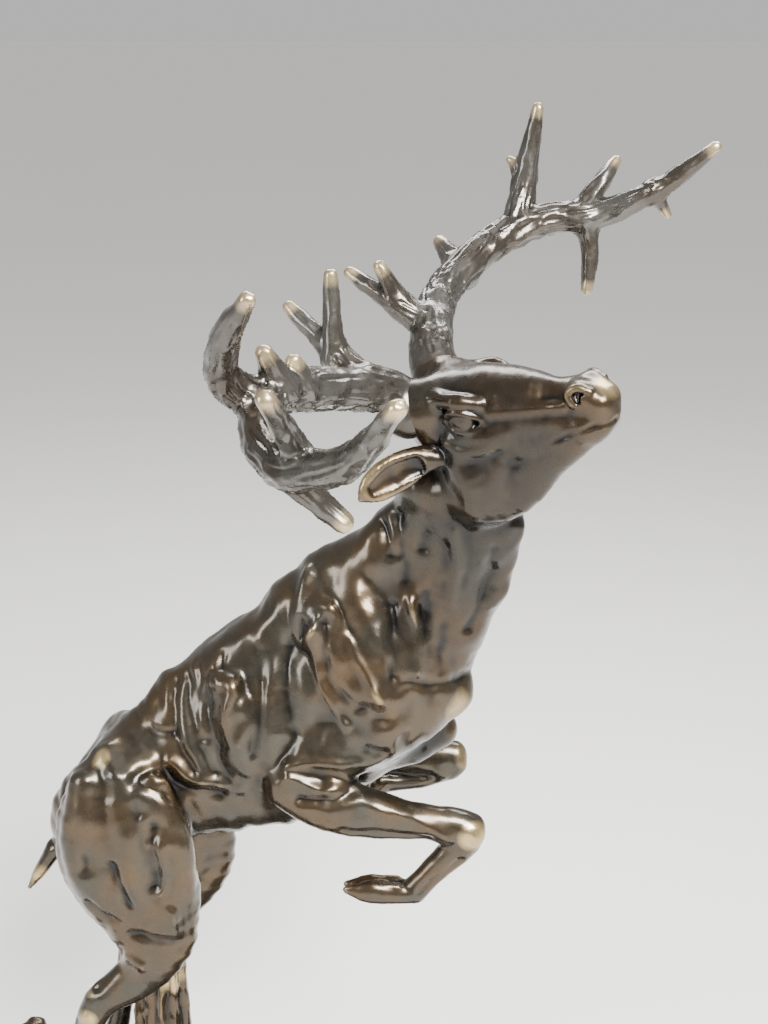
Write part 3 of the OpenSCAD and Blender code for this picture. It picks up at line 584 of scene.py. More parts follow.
# Modelled lines in side view: height in mm, half width, and points along X and Z
BOTH_SIDES = [
    (-1.1, 1.5, [(-18, 210), (-19, 200), (-18, 193), (-12, 183)]),
    (-1.1, 1.4, [(-14, 211), (-13, 200), (-9, 188), (-6, 182)]),
    (-0.9, 1.2, [(-10, 214), (-11, 200), (-9, 194)]),
    (-1.0, 1.4, [(-6, 212), (-7.5, 200), (-5, 190), (-1, 177)]),
    (-0.9, 1.2, [(-3, 218), (-4, 200), (-3, 192)]),
    (1.0, 1.5, [(1, 213), (-2.5, 200)]),
    (1.0, 1.5, [(4, 206), (4.5, 200), (2, 193)]),
    (-1.0, 1.4, [(9, 212), (9, 200), (7, 190)]),
    (-1.9, 2.4, [(18, 222), (16.5, 210), (17, 200), (18, 195), (12, 186)]),
    (-1.5, 2.0, [(-27, 181), (-15, 177), (-5, 174)]),
    (1.0, 1.5, [(-20, 186), (-12, 180), (2, 176)]),
    (1.4, 1.2, [(24, 244), (21, 238), (19, 231), (20, 225), (23, 224), (25, 230)]),
    (1.3, 1.5, [(30, 236), (36, 226), (40, 217), (45, 209)]),
    (-1.3, 1.5, [(28, 232), (29, 220), (32, 211), (37, 206), (40, 206.5)]),
    (1.1, 1.2, [(26, 233), (26, 222), (28, 212), (31, 205), (35, 200)]),
    (1.6, 4.5, [(43, 234), (42, 224), (44, 214)]),
    (-1.1, 1.6, [(48, 236), (48, 226), (49, 216)]),
    (1.2, 1.4, [(54, 238), (56.5, 228), (56, 216)]),
    (-0.7, 1.5, [(58, 236), (58, 228)]),
    (-0.7, 1.5, [(63, 222), (63, 215)]),
    (-0.8, 1.6, [(53, 213), (70, 210)]),
    (-1.5, 1.4, [(41, 192), (47, 190)]),
    (1.1, 1.3, [(17, 187), (25, 188), (40, 187), (48, 190)]),
    (1.1, 1.3, [(17, 183), (28, 180)]),
    (-1.6, 1.6, [(20, 176.5), (30, 177), (37, 179)]),
    (1.2, 2.8, [(43, 209), (43.5, 210)]),
    (1.2, 3.0, [(45, 194), (50, 200), (50, 207)]),
    (1.3, 3.2, [(-41, 189), (-40.5, 189)]),
    (-1.0, 1.6, [(-36, 200), (-27, 194), (-20, 193)]),
]
RIGHT_SIDE = [
    (-0.9, 1.8, [(57, 259), (57, 255)]),
    (-0.8, 1.6, [(52, 249), (52, 244)]),
    (-0.8, 1.8, [(58.5, 240), (58.5, 236)]),
    (-0.9, 1.8, [(58, 233), (58, 230)]),
    (-0.8, 1.8, [(64, 229), (64, 225)]),
    (-1.3, 1.3, [(45, 262), (48, 252)]),
    (-1.3, 1.3, [(50, 264), (51, 252)]),
    (1.6, 2.2, [(85, 262), (84, 250), (82, 243), (79, 236)]),
    (-1.3, 2.0, [(78, 256), (77, 246), (74, 235), (71, 229)]),
    (1.0, 1.5, [(66, 262), (67, 250), (66, 238)]),
    (-1.0, 2.0, [(-46, 156.5), (-46, 153.5)]),
    (-1.3, 1.3, [(-38, 155), (-36, 150), (-34, 144), (-32, 141)]),
    (-1.3, 1.3, [(-45, 142), (-41, 137), (-37, 134.5)]),
    (-1.0, 1.9, [(-24.5, 151.5), (-24.5, 148.5)]),
    (-1.5, 1.8, [(-23.5, 167.5), (-23.5, 164.5)]),
    (1.2, 1.3, [(-27, 170), (-26, 162)]),
    (1.2, 1.3, [(-22, 163), (-21, 150), (-23, 144)]),
    (1.2, 1.3, [(-20, 139), (-19, 128)]),
    (-1.3, 1.8, [(-33, 129), (-20, 127)]),
    (1.0, 1.3, [(-35, 120), (-30, 118)]),
    (-2.2, 1.5, [(-38, 121), (-43, 114), (-46.5, 108)]),
    (1.0, 2.0, [(-50, 106.5), (-50, 106)]),
    (1.0, 2.0, [(-49, 96.5), (-49, 96)]),
    (-0.8, 1.0, [(-53, 95), (-57.5, 62)]),
    (0.7, 1.3, [(38, 178), (45, 173), (55, 169.5), (66, 163)]),
    (-0.9, 1.1, [(34, 167), (48, 164.5), (60, 162.5)]),
    (1.0, 2.4, [(73, 165), (73.5, 162)]),
    (-0.8, 1.0, [(69, 154.5), (57, 142.5)]),
]


def lined(verts, normals, lines, sides):
    """How far modelled lines move each vertex along its normal."""
    flat = verts * vec(1, 0, 1)
    flat[:, 0] += noise(verts / 6 + 21) * 0.8
    flat[:, 2] += noise(verts / 6 + 29) * 0.8
    swell = 0.9 + 0.4 * noise(verts / 5 + 37)
    facing = step_up(np.abs(normals[:, 1]), 0.15, 0.6) * np.isin(np.sign(normals[:, 1]), sides)
    total = np.zeros(len(verts))
    for height, width, points in lines:
        path = resample([vec(x, 0, z) for x, z in points], [[1.0]] * len(points), 4)[0]
        low, high = path.min(0) - 3 * width, path.max(0) + 3 * width
        near = np.where(((flat >= low) & (flat <= high)).all(1) & (facing > 0))[0]
        d = near_path(flat[near], path)[0]
        total[near] += height * np.exp(-((d / (1.25 * width)) ** 2)) * facing[near] * swell[near]
    return total


# The lines on both sides stop below the upper neck
LINES_TOP = 250


def modelled(field):
    """A grid's surface with lips, folds and modelled lines worked into it."""
    verts, quads = field.surface()
    links = links_of(quads)
    verts = smoothed(verts, links, 1)
    normals = normals_of(verts, quads)
    # A fine slit between two soft lips, on each side
    for m in (1, -1):
        lips = near_path(verts, resample(placed_in_head(MOUTH, m), [[1.0]] * len(MOUTH), 5)[0])[0]
        depth = 0.5 * np.exp(-((lips / 2.2) ** 2)) - 0.95 * np.exp(-((lips / 0.9) ** 2))
        verts = verts + normals * depth[:, None]
    # Broad folds of hair and muscle, some upright and some across the trunk
    along = verts - hips
    on_trunk = np.stack([along @ trunk_along, verts[:, 1], along @ trunk_out], 1)
    upright = noise(verts / vec(6, 9, 16) + 3 + 0.5 * noise(verts / 9)[:, None])
    aslant = noise(on_trunk / vec(6.5, 9, 17) + 43 + 0.5 * noise(verts / 9 + 5)[:, None])
    folds = upright * 0.75 + aslant * 0.6 + noise(verts / vec(2.4, 3, 4) + 11) * 0.12
    # They are calmer on the lower hind legs, the head and the forelegs
    above_hocks = step_up(verts[:, 2], 100, 130)
    in_head = (verts - head_seat) @ HEAD.T
    at_head = step_up(in_head[:, 0] + 0.6 * in_head[:, 2], 2, 14) * step_up(verts[:, 2], 262, 270)
    slender = step_up(verts[:, 0], 26, 50) * (1 - step_up(verts[:, 2], 184, 194))
    move = folds * (0.25 + 0.75 * above_hocks) * (1 - 0.5 * at_head) * (1 - 0.6 * slender)
    move += lined(verts, normals, BOTH_SIDES, (-1, 1)) * (verts[:, 2] < LINES_TOP)
    move += lined(verts, normals, RIGHT_SIDE, (-1,)) * (1 - at_head)
    verts = smoothed(verts + normals * move[:, None], links, 1)
    return verts, quads, links, normals_of(verts, quads), in_head


# ---------------------------------------------------------------- pieces and masks


def ball_mask(verts, centre, radius, edge):
    """1 within a ball and 0 outside it, with a soft edge of a share of its radius."""
    return step_up(radius - np.linalg.norm(verts - centre, axis=1), 0, radius * edge)


def masks_of(verts, links, normals, bright, step=BODY_STEP):
    """How deep in a hollow of dark patina, with painted shade added at listed spots, and how rubbed each
    vertex is, from 0 to 1.
    """
    rounds = (BODY_STEP / step) ** 2
    near = ((verts - smoothed(verts, links, int(8 * rounds))) * normals).sum(1)
    broad = ((verts - smoothed(verts, links, int(50 * rounds))) * normals).sum(1)
    crevice_and_shade = np.clip(-near / 0.3, 0, 1) * 0.5 + np.clip(-broad / 1.1, 0, 1) * 0.6
    rubbed = np.clip((near - 0.06) / 0.3, 0, 1) * 0.3 + np.clip((broad - 0.3) / 1.2, 0, 1) * 0.3
    for centre, radius in bright:
        rubbed += ball_mask(verts, centre, radius, 0.8)
    # Painted shade: listed spots are darkened as if shadowed, summed into the crevice mask
    for centre, radius, most in PAINTED_SHADE:
        crevice_and_shade += most * ball_mask(verts, centre, radius, 0.7)
    return np.clip(smoothed(crevice_and_shade, links, 1), 0, 1), np.clip(smoothed(rubbed, links, 1), 0, 1)


def open_loops(faces, size):
    """The edges that only one of some faces has, in groups that hang together."""
    a, b = links_of(faces)
    open_edge = ~np.isin(a * size + b, b * size + a)
    starts, ends = a[open_edge], b[open_edge]
    group = {}

    def root(v):
        while group.setdefault(v, v) != v:
            group[v] = group[group[v]]
            v = group[v]
        return v

    for v, w in zip(starts.tolist(), ends.tolist()):
        group[root(v)] = root(w)
    loops = {}
    for v, w in zip(starts.tolist(), ends.tolist()):
        loops.setdefault(root(v), []).append((v, w))
    return list(loops.values())


CAP_DEPTH = 7


def build_piece(name, faces, verts, normals, masks):
    """One mesh object, in metres, from some faces of a surface, with its cut ends closed inwards."""
    loops = open_loops(faces, len(verts))
    used, flat = np.unique(faces, return_inverse=True)
    faces = flat.reshape(faces.shape)
    points = [verts[used]]
    shade = [normals[used]]
    place = {v: i for i, v in enumerate(used.tolist())}
    polygons = faces.tolist()
    for loop in loops:
        ring = np.array([v for v, _ in loop])
        centre = verts[ring].mean(0) - CAP_DEPTH * normals[ring].mean(0)
        hub = len(used) + len(points) - 1
        points.append(centre[None])
        shade.append(unit(normals[ring].mean(0) + vec(0, 0, 1e-3))[None])
        polygons += [(place[w], place[v], hub) for v, w in loop]
    mesh = bpy.data.meshes.new(name)
    mesh.from_pydata((np.concatenate(points) * MM).tolist(), [], polygons)
    mesh.shade_smooth()
    mesh.normals_split_custom_set_from_vertices(np.concatenate(shade).tolist())
    # The crevice mask stored here holds patina in hollows and painted shade; the rubbed mask holds wear
    for label, values in zip(("crevice_and_shade", "rubbed"), masks):
        data = np.concatenate([values[used], np.zeros(len(loops))]).astype(np.float32)
        mesh.attributes.new(label, "FLOAT", "POINT").data.foreach_set("value", data)
    return in_scene(name, mesh)


def register(piece, nodes, material):
    """Lets a piece ride on the CAD body in place of some nodes."""
    piece.data.materials.append(material)
    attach(piece, "root")
    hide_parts(*nodes)


# ---------------------------------------------------------------- materials


def new_material(name):
    material = bpy.data.materials.new(name)
    material.use_nodes = True
    tree = material.node_tree
    return material, tree, tree.nodes["Principled BSDF"]


def noise_node(tree, scale, detail=4.0, roughness=0.55):
    spot = tree.nodes.new("ShaderNodeTexCoord")
    node = tree.nodes.new("ShaderNodeTexNoise")
    node.inputs["Scale"].default_value = scale
    node.inputs["Detail"].default_value = detail
    node.inputs["Roughness"].default_value = roughness
    tree.links.new(spot.outputs["Object"], node.inputs["Vector"])
    return node.outputs["Fac"]


def blended(tree, factor, a, b):
    """A colour that runs from a to b; each is a colour or a node's output."""
    node = tree.nodes.new("ShaderNodeMix")
    node.data_type = "RGBA"
    for socket, value in ((node.inputs["A"], a), (node.inputs["B"], b)):
        if isinstance(value, tuple):
            socket.default_value = (*value, 1)
        else:
            tree.links.new(value, socket)
    tree.links.new(factor, node.inputs["Factor"])
    return node.outputs["Result"]


def ranged(tree, value, low, high, out_low=0.0, out_high=1.0):
    node = tree.nodes.new("ShaderNodeMapRange")
    tree.links.new(value, node.inputs["Value"])
    for label, number in (("From Min", low), ("From Max", high), ("To Min", out_low), ("To Max", out_high)):
        node.inputs[label].default_value = number
    return node.outputs["Result"]


def product(tree, a, b):
    node = tree.nodes.new("ShaderNodeMath")
    node.operation = "MULTIPLY"
    tree.links.new(a, node.inputs[0])
    tree.links.new(b, node.inputs[1])
    return node.outputs["Value"]


def masked(tree, label):
    node = tree.nodes.new("ShaderNodeAttribute")
    node.attribute_name = label
    return node.outputs["Fac"]


def bumped(tree, shader, height, strength, distance):
    node = tree.nodes.new("ShaderNodeBump")
    node.inputs["Strength"].default_value = strength
    node.inputs["Distance"].default_value = distance * MM
    tree.links.new(height, node.inputs["Height"])
    tree.links.new(node.outputs["Normal"], shader.inputs["Normal"])


def cast_metal(name, body_colour, tint, dark, bright, roughness, coat):
    """Patinated metal: dark patina in the crevices, painted shade where the mask holds it, and bare where
    hands rub it.
    """
    material, tree, shader = new_material(name)
    base = blended(tree, ranged(tree, noise_node(tree, 45), 0.4, 0.62), body_colour, tint)
    # The dark colour stands for patina in hollows and for painted shade at listed spots
    crevice_and_shade = ranged(tree, masked(tree, "crevice_and_shade"), 0.05, 0.7)
    base = blended(tree, crevice_and_shade, base, dark)
    patches = ranged(tree, noise_node(tree, 120), 0.3, 0.6, 0.45, 1)
    rubbed = product(tree, ranged(tree, masked(tree, "rubbed"), 0.25, 0.9), patches)
    tree.links.new(blended(tree, rubbed, base, bright), shader.inputs["Base Color"])
    gloss = ranged(tree, noise_node(tree, 260), 0.3, 0.7, roughness - 0.06, roughness + 0.08)
    tree.links.new(gloss, shader.inputs["Roughness"])
    shader.inputs["Metallic"].default_value = 0.8
    shader.inputs["Coat Weight"].default_value = coat
    shader.inputs["Coat Roughness"].default_value = 0.16
    bumped(tree, shader, noise_node(tree, 700, 3), 0.12, 0.2)
    return material


bronze = cast_metal(
    "bronze", body_colour=(0.036, 0.031, 0.022), tint=(0.058, 0.036, 0.017), dark=(0.005, 0.004, 0.003),
    bright=(0.42, 0.31, 0.15), roughness=0.27, coat=0.3,
)
horn_bronze = cast_metal(
    "horn_bronze", body_colour=(0.075, 0.07, 0.061), tint=(0.045, 0.036, 0.027), dark=(0.006, 0.005, 0.004),
    bright=(0.4, 0.31, 0.18), roughness=0.27, coat=0.35,
)


def two_tone(name, factor, a, b, roughness, metallic=0.0):
    """A material whose colour runs from a to b with a noise's scale, detail, roughness and range."""
    material, tree, shader = new_material(name)
    scale, detail, grain, low, high = factor
    share = noise_node(tree, scale, detail, grain)
    if (low, high) != (0, 1):
        share = ranged(tree, share, low, high)
    tree.links.new(blended(tree, share, a, b), shader.inputs["Base Color"])
    shader.inputs["Roughness"].default_value = roughness
    shader.inputs["Metallic"].default_value = metallic
    return material, tree, shader


marble = two_tone("marble", (34, 12, 0.75, 0.56, 0.6), (0.016, 0.015, 0.014), (0.045, 0.042, 0.04), 0.16)[0]
felt, tree, shader = two_tone("felt", (900, 4, 0.55, 0, 1), (0.02, 0.045, 0.03), (0.035, 0.07, 0.05), 1)
bumped(tree, shader, noise_node(tree, 2500), 0.5, 0.4)
steel = two_tone("steel", (300, 4, 0.55, 0, 1), (0.5, 0.5, 0.51), (0.62, 0.62, 0.63), 0.3, 1)[0]

# ---------------------------------------------------------------- cut the body into its castings

PARTS = {
    "torso": TORSO,
    "neck": NECK,
    "head": (skull_points, SKULL[1]),
    "tail": TAIL,
    "right_hind_leg": (RIGHT_HIND[0] + [right_sole + vec(3, 0, 2)], RIGHT_HIND[1] + [(3.5, 3.7)]),
    "left_hind_leg": (LEFT_HIND[0] + [left_sole + vec(3, 0, 2)], LEFT_HIND[1] + [(3.5, 3.7)]),
    "right_foreleg": (
        RIGHT_FORE[0] + RIGHT_CANNON[0] + [(42, -16.2, 141.8), (34, -16.2, 142.6)],
        RIGHT_FORE[1] + RIGHT_CANNON[1] + [(3, 3), (2, 2)],
    ),
    "left_foreleg": (
        LEFT_FORE[0] + LEFT_CANNON[0] + [(40, 20.5, 150), (37.5, 20.5, 143.5)],
        LEFT_FORE[1] + LEFT_CANNON[1] + [(3, 3), (2, 2)],
    ),
    "right_ear": (placed_in_head(EAR[0], -1), EAR[1]),
    "left_ear": (placed_in_head(EAR[0]), EAR[1]),
}


def reach_of(p, form):
    """Each point's distance outside a chain of balls of the larger radii."""
    best = np.full(len(p), 1e9)
    points, radii = np.asarray(form[0], float), form[1]
    for a, b, ra, rb in zip(points[:-1], points[1:], radii[:-1], radii[1:]):
        span = b - a
        t = np.clip((p - a) @ span / (span @ span), 0, 1)
        d = np.linalg.norm(p - a - t[:, None] * span, axis=1)
        best = np.minimum(best, d - (1 - t) * max(ra) - t * max(rb))
    return best


names = list(PARTS)
# Centre and radius of the rubbed spots: a hip, knees, hocks, nose, tail, brisket and a fetlock
BRIGHT = [
    ((-41, -18, 189), 6), ((73, -21, 163), 7), ((70, 21, 169), 6), ((-50, -20, 106.5), 4.5),
    ((-49, -20, 96.5), 5), (head(47, 0, 25), 6), ((-65, 0, 139), 6), ((66, -6, 202), 9),
    ((-41, 20, 100), 6), ((55, -16, 141), 4),
]
# Centre, radius and depth of painted shade: between the forelegs, the groin, throat, neck and head
PAINTED_SHADE = [
    ((56, -4, 184), 17, 1), ((44, 2, 178), 15, 1), ((-22, 0, 150), 13, 0.7),
    ((-38, 0, 150), 14, 0.7), (head(8, 0, -12), 15, 0.5), ((47, -22, 257), 8, 0.4),
    ((72, 0, 242), 46, 0.42), (head(20, 0, 4), 50, 0.45),
]
# The core plugs are chased flush and show only as the torso's surface
NODES = {"torso": ["torso", "core_plugs"]}
OF_HEAD = ("head", "right_ear", "left_ear")


# Where the legs' seats lie on the trunk: out from the middle, and the highest
LEGS_OUT = 11.5
LEGS_TOP = 182


def owners(verts, links, in_head, lap):
    """Each vertex's casting, as a place in the list of names. The head laps over the neck."""
    reach = np.stack([reach_of(verts, PARTS[n]) for n in names], 1)
    # The legs start at the trunk's sides, and the head starts at its seat
    side = np.abs(verts[:, 1])
    for i, n in enumerate(names):
        if n.endswith("leg"):
            reach[:, i] += np.clip(LEGS_OUT - side, 0, 20) * 2.5
    torso, neck, skull = (names.index(n) for n in ("torso", "neck", "head"))
    reach[:, torso] += np.clip(side - LEGS_OUT - 0.5, 0, 10) * 1.2 * (verts[:, 2] < LEGS_TOP)
    past_head_seat = in_head[:, 0] * 0.88 + in_head[:, 2] * 0.47 - 1
    past_neck_seat = (verts - neck_low) @ unit(np.cross(trunk(116, -26) - trunk(106, 32), ACROSS))
    for past, below, above in ((past_head_seat, neck, skull), (past_neck_seat, torso, neck)):
        reach[:, above] += np.clip(-past, 0, 9) * 4
        reach[:, below] += np.clip(past, 0, 9) * 4
    reach[:, neck] += lap
    return smoothed(reach, links, 6).argmin(1)


HEAD_LAP = 5
for field, of_head in ((coarse, False), (fine, True)):
    verts, quads, links, normals, in_head = modelled(field)
    face_owner = owners(verts, links, in_head, HEAD_LAP * of_head)[quads[:, 0]]
    masks = masks_of(verts, links, normals, BRIGHT, field.step)
    for i, n in enumerate(names):
        if (n in OF_HEAD) == of_head:
            piece = build_piece(n + "_cast", quads[face_owner == i], verts, normals, masks)
            register(piece, NODES.get(n, [n]), bronze)

# ---------------------------------------------------------------- antlers

# Each point is forward, left and up from the head's middle, with a radius
LEFT_BEAM = [
    (-8, 10, 17, 8), (-12, 13, 23, 6.8), (-17, 24, 29, 5.6), (-20, 35, 33, 5.2), (-18.5, 47, 37, 5.2),
    (-13.5, 63, 42, 5), (-2, 75, 45, 4.6), (12, 82, 45, 4.1), (30, 88, 52, 3.1), (45, 95, 63, 1.9),
]
LEFT_TINES = [
    [(-10, 68, 43, 4.4), (-9, 76, 58, 3.6), (-5, 80, 78, 1.8)],
    [(8, 80, 44, 3.6), (10, 78, 34, 2.8), (10, 74, 23, 1.7)],
    [(6, 79, 45, 3.4), (10, 87, 52, 2.9), (13, 95, 58, 1.7)],
    [(-17, 23, 29, 4.4), (-25, 20, 35, 3.6), (-41, 20, 44.5, 1.9)],
    [(-24, 21, 34, 3.4), (-29, 18, 48, 1.9)],
    [(-19, 48, 36, 4.6), (-30, 55.5, 42.5, 2.2)],
    [(28, 87, 52, 2.6), (31, 90, 43, 1.4)],
    [(-9.5, 76, 58, 3), (-14, 76, 63, 1.4)],
]
RIGHT_BEAM = [
    (-8, 10, 17, 8), (-12, 13, 23, 6.8), (-15, 26, 30, 5.8), (-18, 42, 36, 5.6), (-19, 58, 41, 5.6),
    (-12, 71, 36, 5.2), (0, 79, 34, 5), (12, 83, 37, 4.6), (27, 88, 45, 3.6), (43.5, 95, 62, 2.2),
]
RIGHT_TINES = [
    [(-19, 60, 40, 5), (-23, 68, 50, 4.2), (-15, 74, 64, 3.6), (-3, 79, 76, 2)],
    [(-2, 78, 34, 4.2), (3, 74, 24, 3.4), (9, 72, 17, 2.6)],
    [(4, 78, 37, 3.6), (10, 95, 60, 2.2)],
    [(-15, 20, 29, 4.6), (-24, 18, 36, 3.6), (-38.5, 16, 47.5, 1.9)],
    [(-24, 19, 35, 3.4), (-23, 16, 58, 1.8)],
    [(-16, 54, 42, 4.2), (-17, 58, 53, 2.3)],
    [(-16, 46, 39, 4.2), (-16, 48, 47, 2)],
]


BARK_SIDE = unit(vec(0.3, 0.5, 0.8))


def antler(name, mirror, beam, tines):
    """A beam with its tines, under bark that runs along each branch."""
    placed = [[head(f, mirror * l, u) for f, l, u, _ in form] for form in [beam, *tines]]
    every = np.concatenate(placed)
    field = Field(every.min(0) - 8, every.max(0) + 8, 0.55)
    for path, form in zip(placed, [beam, *tines]):
        field.add(path, [(p[3], p[3]) for p in form], 2.5, steps=5)
    verts, quads = field.surface()
    links = links_of(quads)
    verts = smoothed(verts, links, 1)
    normals = normals_of(verts, quads)
    # Bark runs along whichever branch is nearest
    best = np.full(len(verts), 1e9)
    bark = np.zeros(verts.shape)
    girth = np.zeros(len(verts))
    for n, (path, form) in enumerate(zip(placed, [beam, *tines])):
        middle, radii = resample(path, [[p[3]] for p in form], 5)
        d, place, way, foot = near_path(verts, middle)
        run = np.concatenate([[0], np.cumsum(np.linalg.norm(np.diff(middle, axis=0), axis=1))])
        size = np.interp(place, run, radii[:, 0])
        closer = d - size < best
        best[closer] = (d - size)[closer]
        across = np.cross(way, BARK_SIDE)
        across /= np.linalg.norm(across, axis=1)[:, None]
        over = np.cross(way, across)
        off = verts - foot
        spot = np.stack([(off * across).sum(1) / 1.5, (off * over).sum(1) / 1.5, place / 9], 1)
        bark[closer] = (spot + 5 * n)[closer]
        girth[closer] = size[closer]
    ridges = 1 - 2 * np.abs(noise(bark)) ** 0.7
    knobs = noise(verts / 3.5 + 7)
    strength = np.clip(girth / 4.5, 0.15, 1) * step_up(np.linalg.norm(verts - placed[0][0], axis=1), 8, 15)
    move = (ridges * 0.55 + knobs * 0.4) * strength
    verts = verts + normals * move[:, None]
    normals = normals_of(verts, quads)
    tips = [(path[-1], 5) for path in placed]
    piece = build_piece(name + "_cast", quads, verts, normals, masks_of(verts, links, normals, tips))
    register(piece, [name], horn_bronze)


antler("left_antler", 1, LEFT_BEAM, LEFT_TINES)
antler("right_antler", -1, RIGHT_BEAM, RIGHT_TINES)

# ---------------------------------------------------------------- stump and rock

rock_low, rock_high = box_mm("rock_base")
stump_low, stump_high = box_mm("tree_stump")
stump_foot = vec(-31, 1, stump_low[2])
stump_top = with_y(trunk(9, -18), 1)
# The stump's sections: share of its height, half length, half width and lean
LEVELS = [
    (0, 15, 8.5, 0), (0.12, 12.9, 7.2, 0), (0.35, 9.3, 6.1, 0), (0.58, 7.5, 5.6, -0.5), (0.8, 6.3, 5.1, 0),
    (1, 5.4, 4.7, 0),
]
# Each root's end, out from the stump's middle, and its radius
ROOTS = [(12, 3, 3.6), (-12, 4, 3.4), (-10, -5, 3.2), (11, -5, 3), (1, -7.5, 3.2), (1, 7.5, 3.2)]


def stump_piece():
    """The fluted stump, cut off level at its foot and flush with the belly at its top."""
    field = Field(stump_low - 6, stump_high + 6, 0.6)
    points = [stump_foot + f * (stump_top - stump_foot) + vec(lean, 0, 0) for f, _, _, lean in LEVELS]
    points[0] = points[0] - vec(0, 0, 6)
    field.add(points, [(b, a) for _, a, b, _ in LEVELS], 1)
    # Roots at the foot, and the stub of a broken limb
    for x, y, size in ROOTS:
        field.add([stump_foot + vec(x * 0.5, y * 0.5, 16), stump_foot + vec(x, y, 1)], [2.2, size], 3)
    field.add([points[3] + vec(2, -2, 2), points[3] + vec(9.5, -5, 11)], [3.2, 1.9], 2)
    x, _, z = field.coords(field.whole())
    field.d = np.maximum(field.d, stump_low[2] - z)
    seat = (x - trunk(0, -26)[0]) * trunk_out[0] + (z - trunk(0, -26)[2]) * trunk_out[2]
    field.d = np.maximum(field.d, seat - 0.6)
    verts, quads = field.surface()
    links = links_of(quads)
    normals = normals_of(verts, quads)
    share = (verts[:, 2] - stump_foot[2]) / (stump_top[2] - stump_foot[2])
    middle = stump_foot + share[:, None] * (stump_top - stump_foot)
    angle = np.arctan2(verts[:, 1] - middle[:, 1], verts[:, 0] - middle[:, 0])
    flutes = np.cos(9 * angle + 1.2 * share + 1.5 * noise(verts / vec(12, 12, 20)))
    bark = 1 - 2 * np.abs(noise(verts / vec(1.5, 1.5, 9) + 4)) ** 0.7
    move = flutes * 0.7 + bark * 0.5 + noise(verts / 4) * 0.35
    move *= (np.abs(normals[:, 2]) < 0.9) * step_up(share, 0, 0.05)
    verts = smoothed(verts + normals * move[:, None], links, 1)
    normals = normals_of(verts, quads)
    masks = masks_of(verts, links, normals, [((-24, -4, 100), 7)])
    piece = build_piece("tree_stump_cast", quads, verts, normals, masks)
    register(piece, ["tree_stump"], bronze)


def rock_piece():
    """The rock: a low mound with a crag, cracked and layered, with level ledges."""
    field = Field(rock_low - vec(6, 6, 4), rock_high + 6, 0.95)
    floor_z = rock_low[2]
    field.add([(-72, 0, 22), (-40, 0, 21), (-6, 0, 22)], [(35, 20), (37, 19.5), (32, 18)], 3)
    field.add([(-73, 9, 24), (-75, 13, 46), (-77, 16, 63)], [(21, 23), (14, 15), (5.5, 6)], 6)
    field.add([(-82, -16, 24), (-84, -12, 38)], [(12, 10), (7, 5)], 5)
    field.add([(4, 8, 26), (2, 14, 34)], [(12, 12), (8, 8)], 5)
    # Ledges under the stump and the hooves
    for spot, r in ((stump_foot, 17), (right_sole, 10), (left_sole, 9)):
        field.add([spot * vec(1, 1, 0) + vec(0, 0, 24), spot - vec(0, 0, r * 0.72)], [r, r], 5)
    field.d = np.maximum(field.d, floor_z - field.coords(field.whole())[2])
    verts, quads = field.surface()
    links = links_of(quads)
    verts = smoothed(verts, links, 2)
    normals = normals_of(verts, quads)
    strata = np.abs(noise(verts / vec(16, 16, 5) + vec(0, 0, 2)))
    cracks = 1 - np.abs(noise(verts / vec(7, 7, 5) + 9)) ** 0.5 * 1.6
    facets = np.round(noise(verts / 11 + 17) * 3) / 3
    move = facets * 2.1 - strata * 2.6 - np.clip(cracks, 0, 1) * 1.3 + noise(verts / 2.6) * 0.35
    # The foot and the ledges stay smooth, and the ledges are pulled level
    keep = step_up(verts[:, 2], floor_z, floor_z + 3)
    for spot, r in ((stump_foot, 13), (right_sole, 7), (left_sole, 6.5)):
        flat = np.linalg.norm((verts - spot) * vec(1, 1, 0), axis=1)
        keep *= step_up(flat, r, r + 4)
    verts = verts + normals * (move * keep)[:, None]
    for spot, r in ((stump_foot, 15), (right_sole, 8.5), (left_sole, 7.5)):
        flat = np.linalg.norm((verts - spot) * vec(1, 1, 0), axis=1)
        pull = (1 - step_up(flat, r * 0.75, r * 1.25)) * (verts[:, 2] > spot[2] - 8)
        verts[:, 2] += (spot[2] - verts[:, 2]) * pull
    verts = smoothed(verts, links, 1)
    verts[:, 2] = np.maximum(verts[:, 2], floor_z)
    normals = normals_of(verts, quads)
    crevice_and_shade, rubbed = masks_of(verts, links, normals, [((-76, 14, 70), 6)])
    # Hands reach the rock less than the stag
    piece = build_piece("rock_base_cast", quads, verts, normals, (crevice_and_shade, rubbed * 0.45))
    register(piece, ["rock_base"], bronze)


stump_piece()
rock_piece()

# ---------------------------------------------------------------- CAD pieces that stay

for node, material in (
    ("felt_sheet", felt), ("marble_plinth", marble), ("base_studs", steel), ("base_washers", steel),
    ("base_nuts", steel), ("stump_pin", steel), ("antler_pins", steel), ("hoof_pins", steel),
):
    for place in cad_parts[node].material_slots:
        place.material = material

# ---------------------------------------------------------------- floor, lights and camera

floor = two_tone("floor", (4, 4, 0.55, 0, 1), (0.72, 0.71, 0.69), (0.75, 0.74, 0.72), 0.7)[0]
floor_mesh = bpy.data.meshes.new("floor")
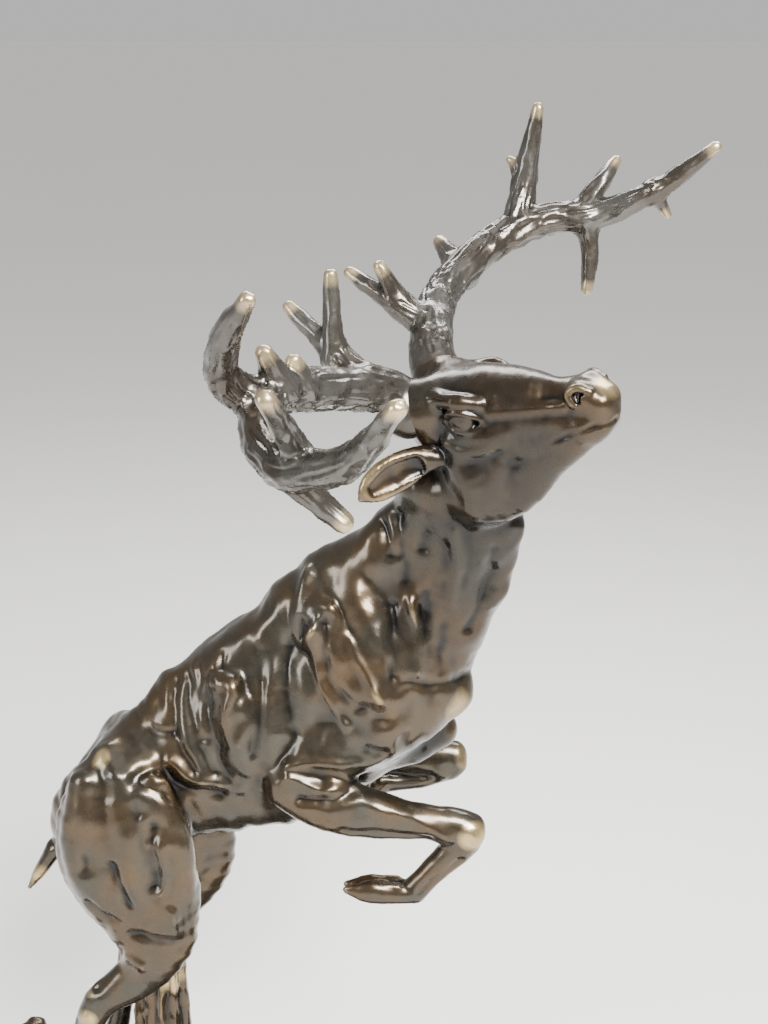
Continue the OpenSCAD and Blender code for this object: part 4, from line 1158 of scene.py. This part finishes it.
# The floor's half width in metres
REACH = 40.0
corners = [(-REACH, -REACH, 0), (REACH, -REACH, 0), (REACH, REACH, 0), (-REACH, REACH, 0)]
floor_mesh.from_pydata(corners, [], [(0, 1, 2, 3)])
floor_mesh.materials.append(floor)
in_scene("floor", floor_mesh)

world = bpy.data.worlds.new("studio")
world.use_nodes = True
backdrop = world.node_tree.nodes["Background"]
backdrop.inputs["Color"].default_value = (0.9, 0.897, 0.892, 1)
backdrop.inputs["Strength"].default_value = 0.665
bpy.context.scene.world = world

TARGET = vec(46, 0, 261)


def looking(thing, place, target):
    """Puts a lamp or camera at a place, facing a target."""
    thing.location = (place * MM).tolist()
    back = unit(place - target)
    right = unit(np.cross(vec(0, 0, 1), back))
    up = np.cross(back, right)
    thing.rotation_euler = Matrix([list(row) for row in np.stack([right, up, back], 1)]).to_euler()


def soft_light(name, place, width, power, tint):
    """A rectangular area light, its width in metres and its power in watts."""
    lamp = bpy.data.lights.new(name, "AREA")
    lamp.shape = "RECTANGLE"
    lamp.size, lamp.size_y = width
    lamp.energy = power
    lamp.color = tint
    looking(in_scene(name, lamp), place, TARGET - vec(40, 0, 60))


sun = bpy.data.lights.new("sky", "SUN")
sun.energy = 0.9
sun.angle = math.radians(50)
looking(in_scene("sky", sun), vec(300, -300, 900), vec(0, 0, 0))
soft_light("key", vec(330, -560, 720), (0.42, 0.28), 34, (1, 0.99, 0.97))
soft_light("fill", vec(-620, -420, 420), (0.2, 0.5), 6, (0.93, 0.96, 1))
soft_light("back", vec(120, 420, 760), (0.7, 0.2), 8, (1, 1, 1))

# The camera's distance, its height above level and the height that it sees at that distance
CAMERA_AWAY = 450
CAMERA_TILT = math.radians(18)
VIEW_HEIGHT = 307.2
lens = bpy.data.cameras.new("camera")
lens.sensor_fit = "VERTICAL"
lens.sensor_height = 36
lens.lens = lens.sensor_height * CAMERA_AWAY / VIEW_HEIGHT
lens.clip_start = 0.01
camera = in_scene("camera", lens)
view_way = vec(0, -math.cos(CAMERA_TILT), math.sin(CAMERA_TILT))
looking(camera, TARGET + CAMERA_AWAY * view_way, TARGET)
bpy.context.scene.camera = camera
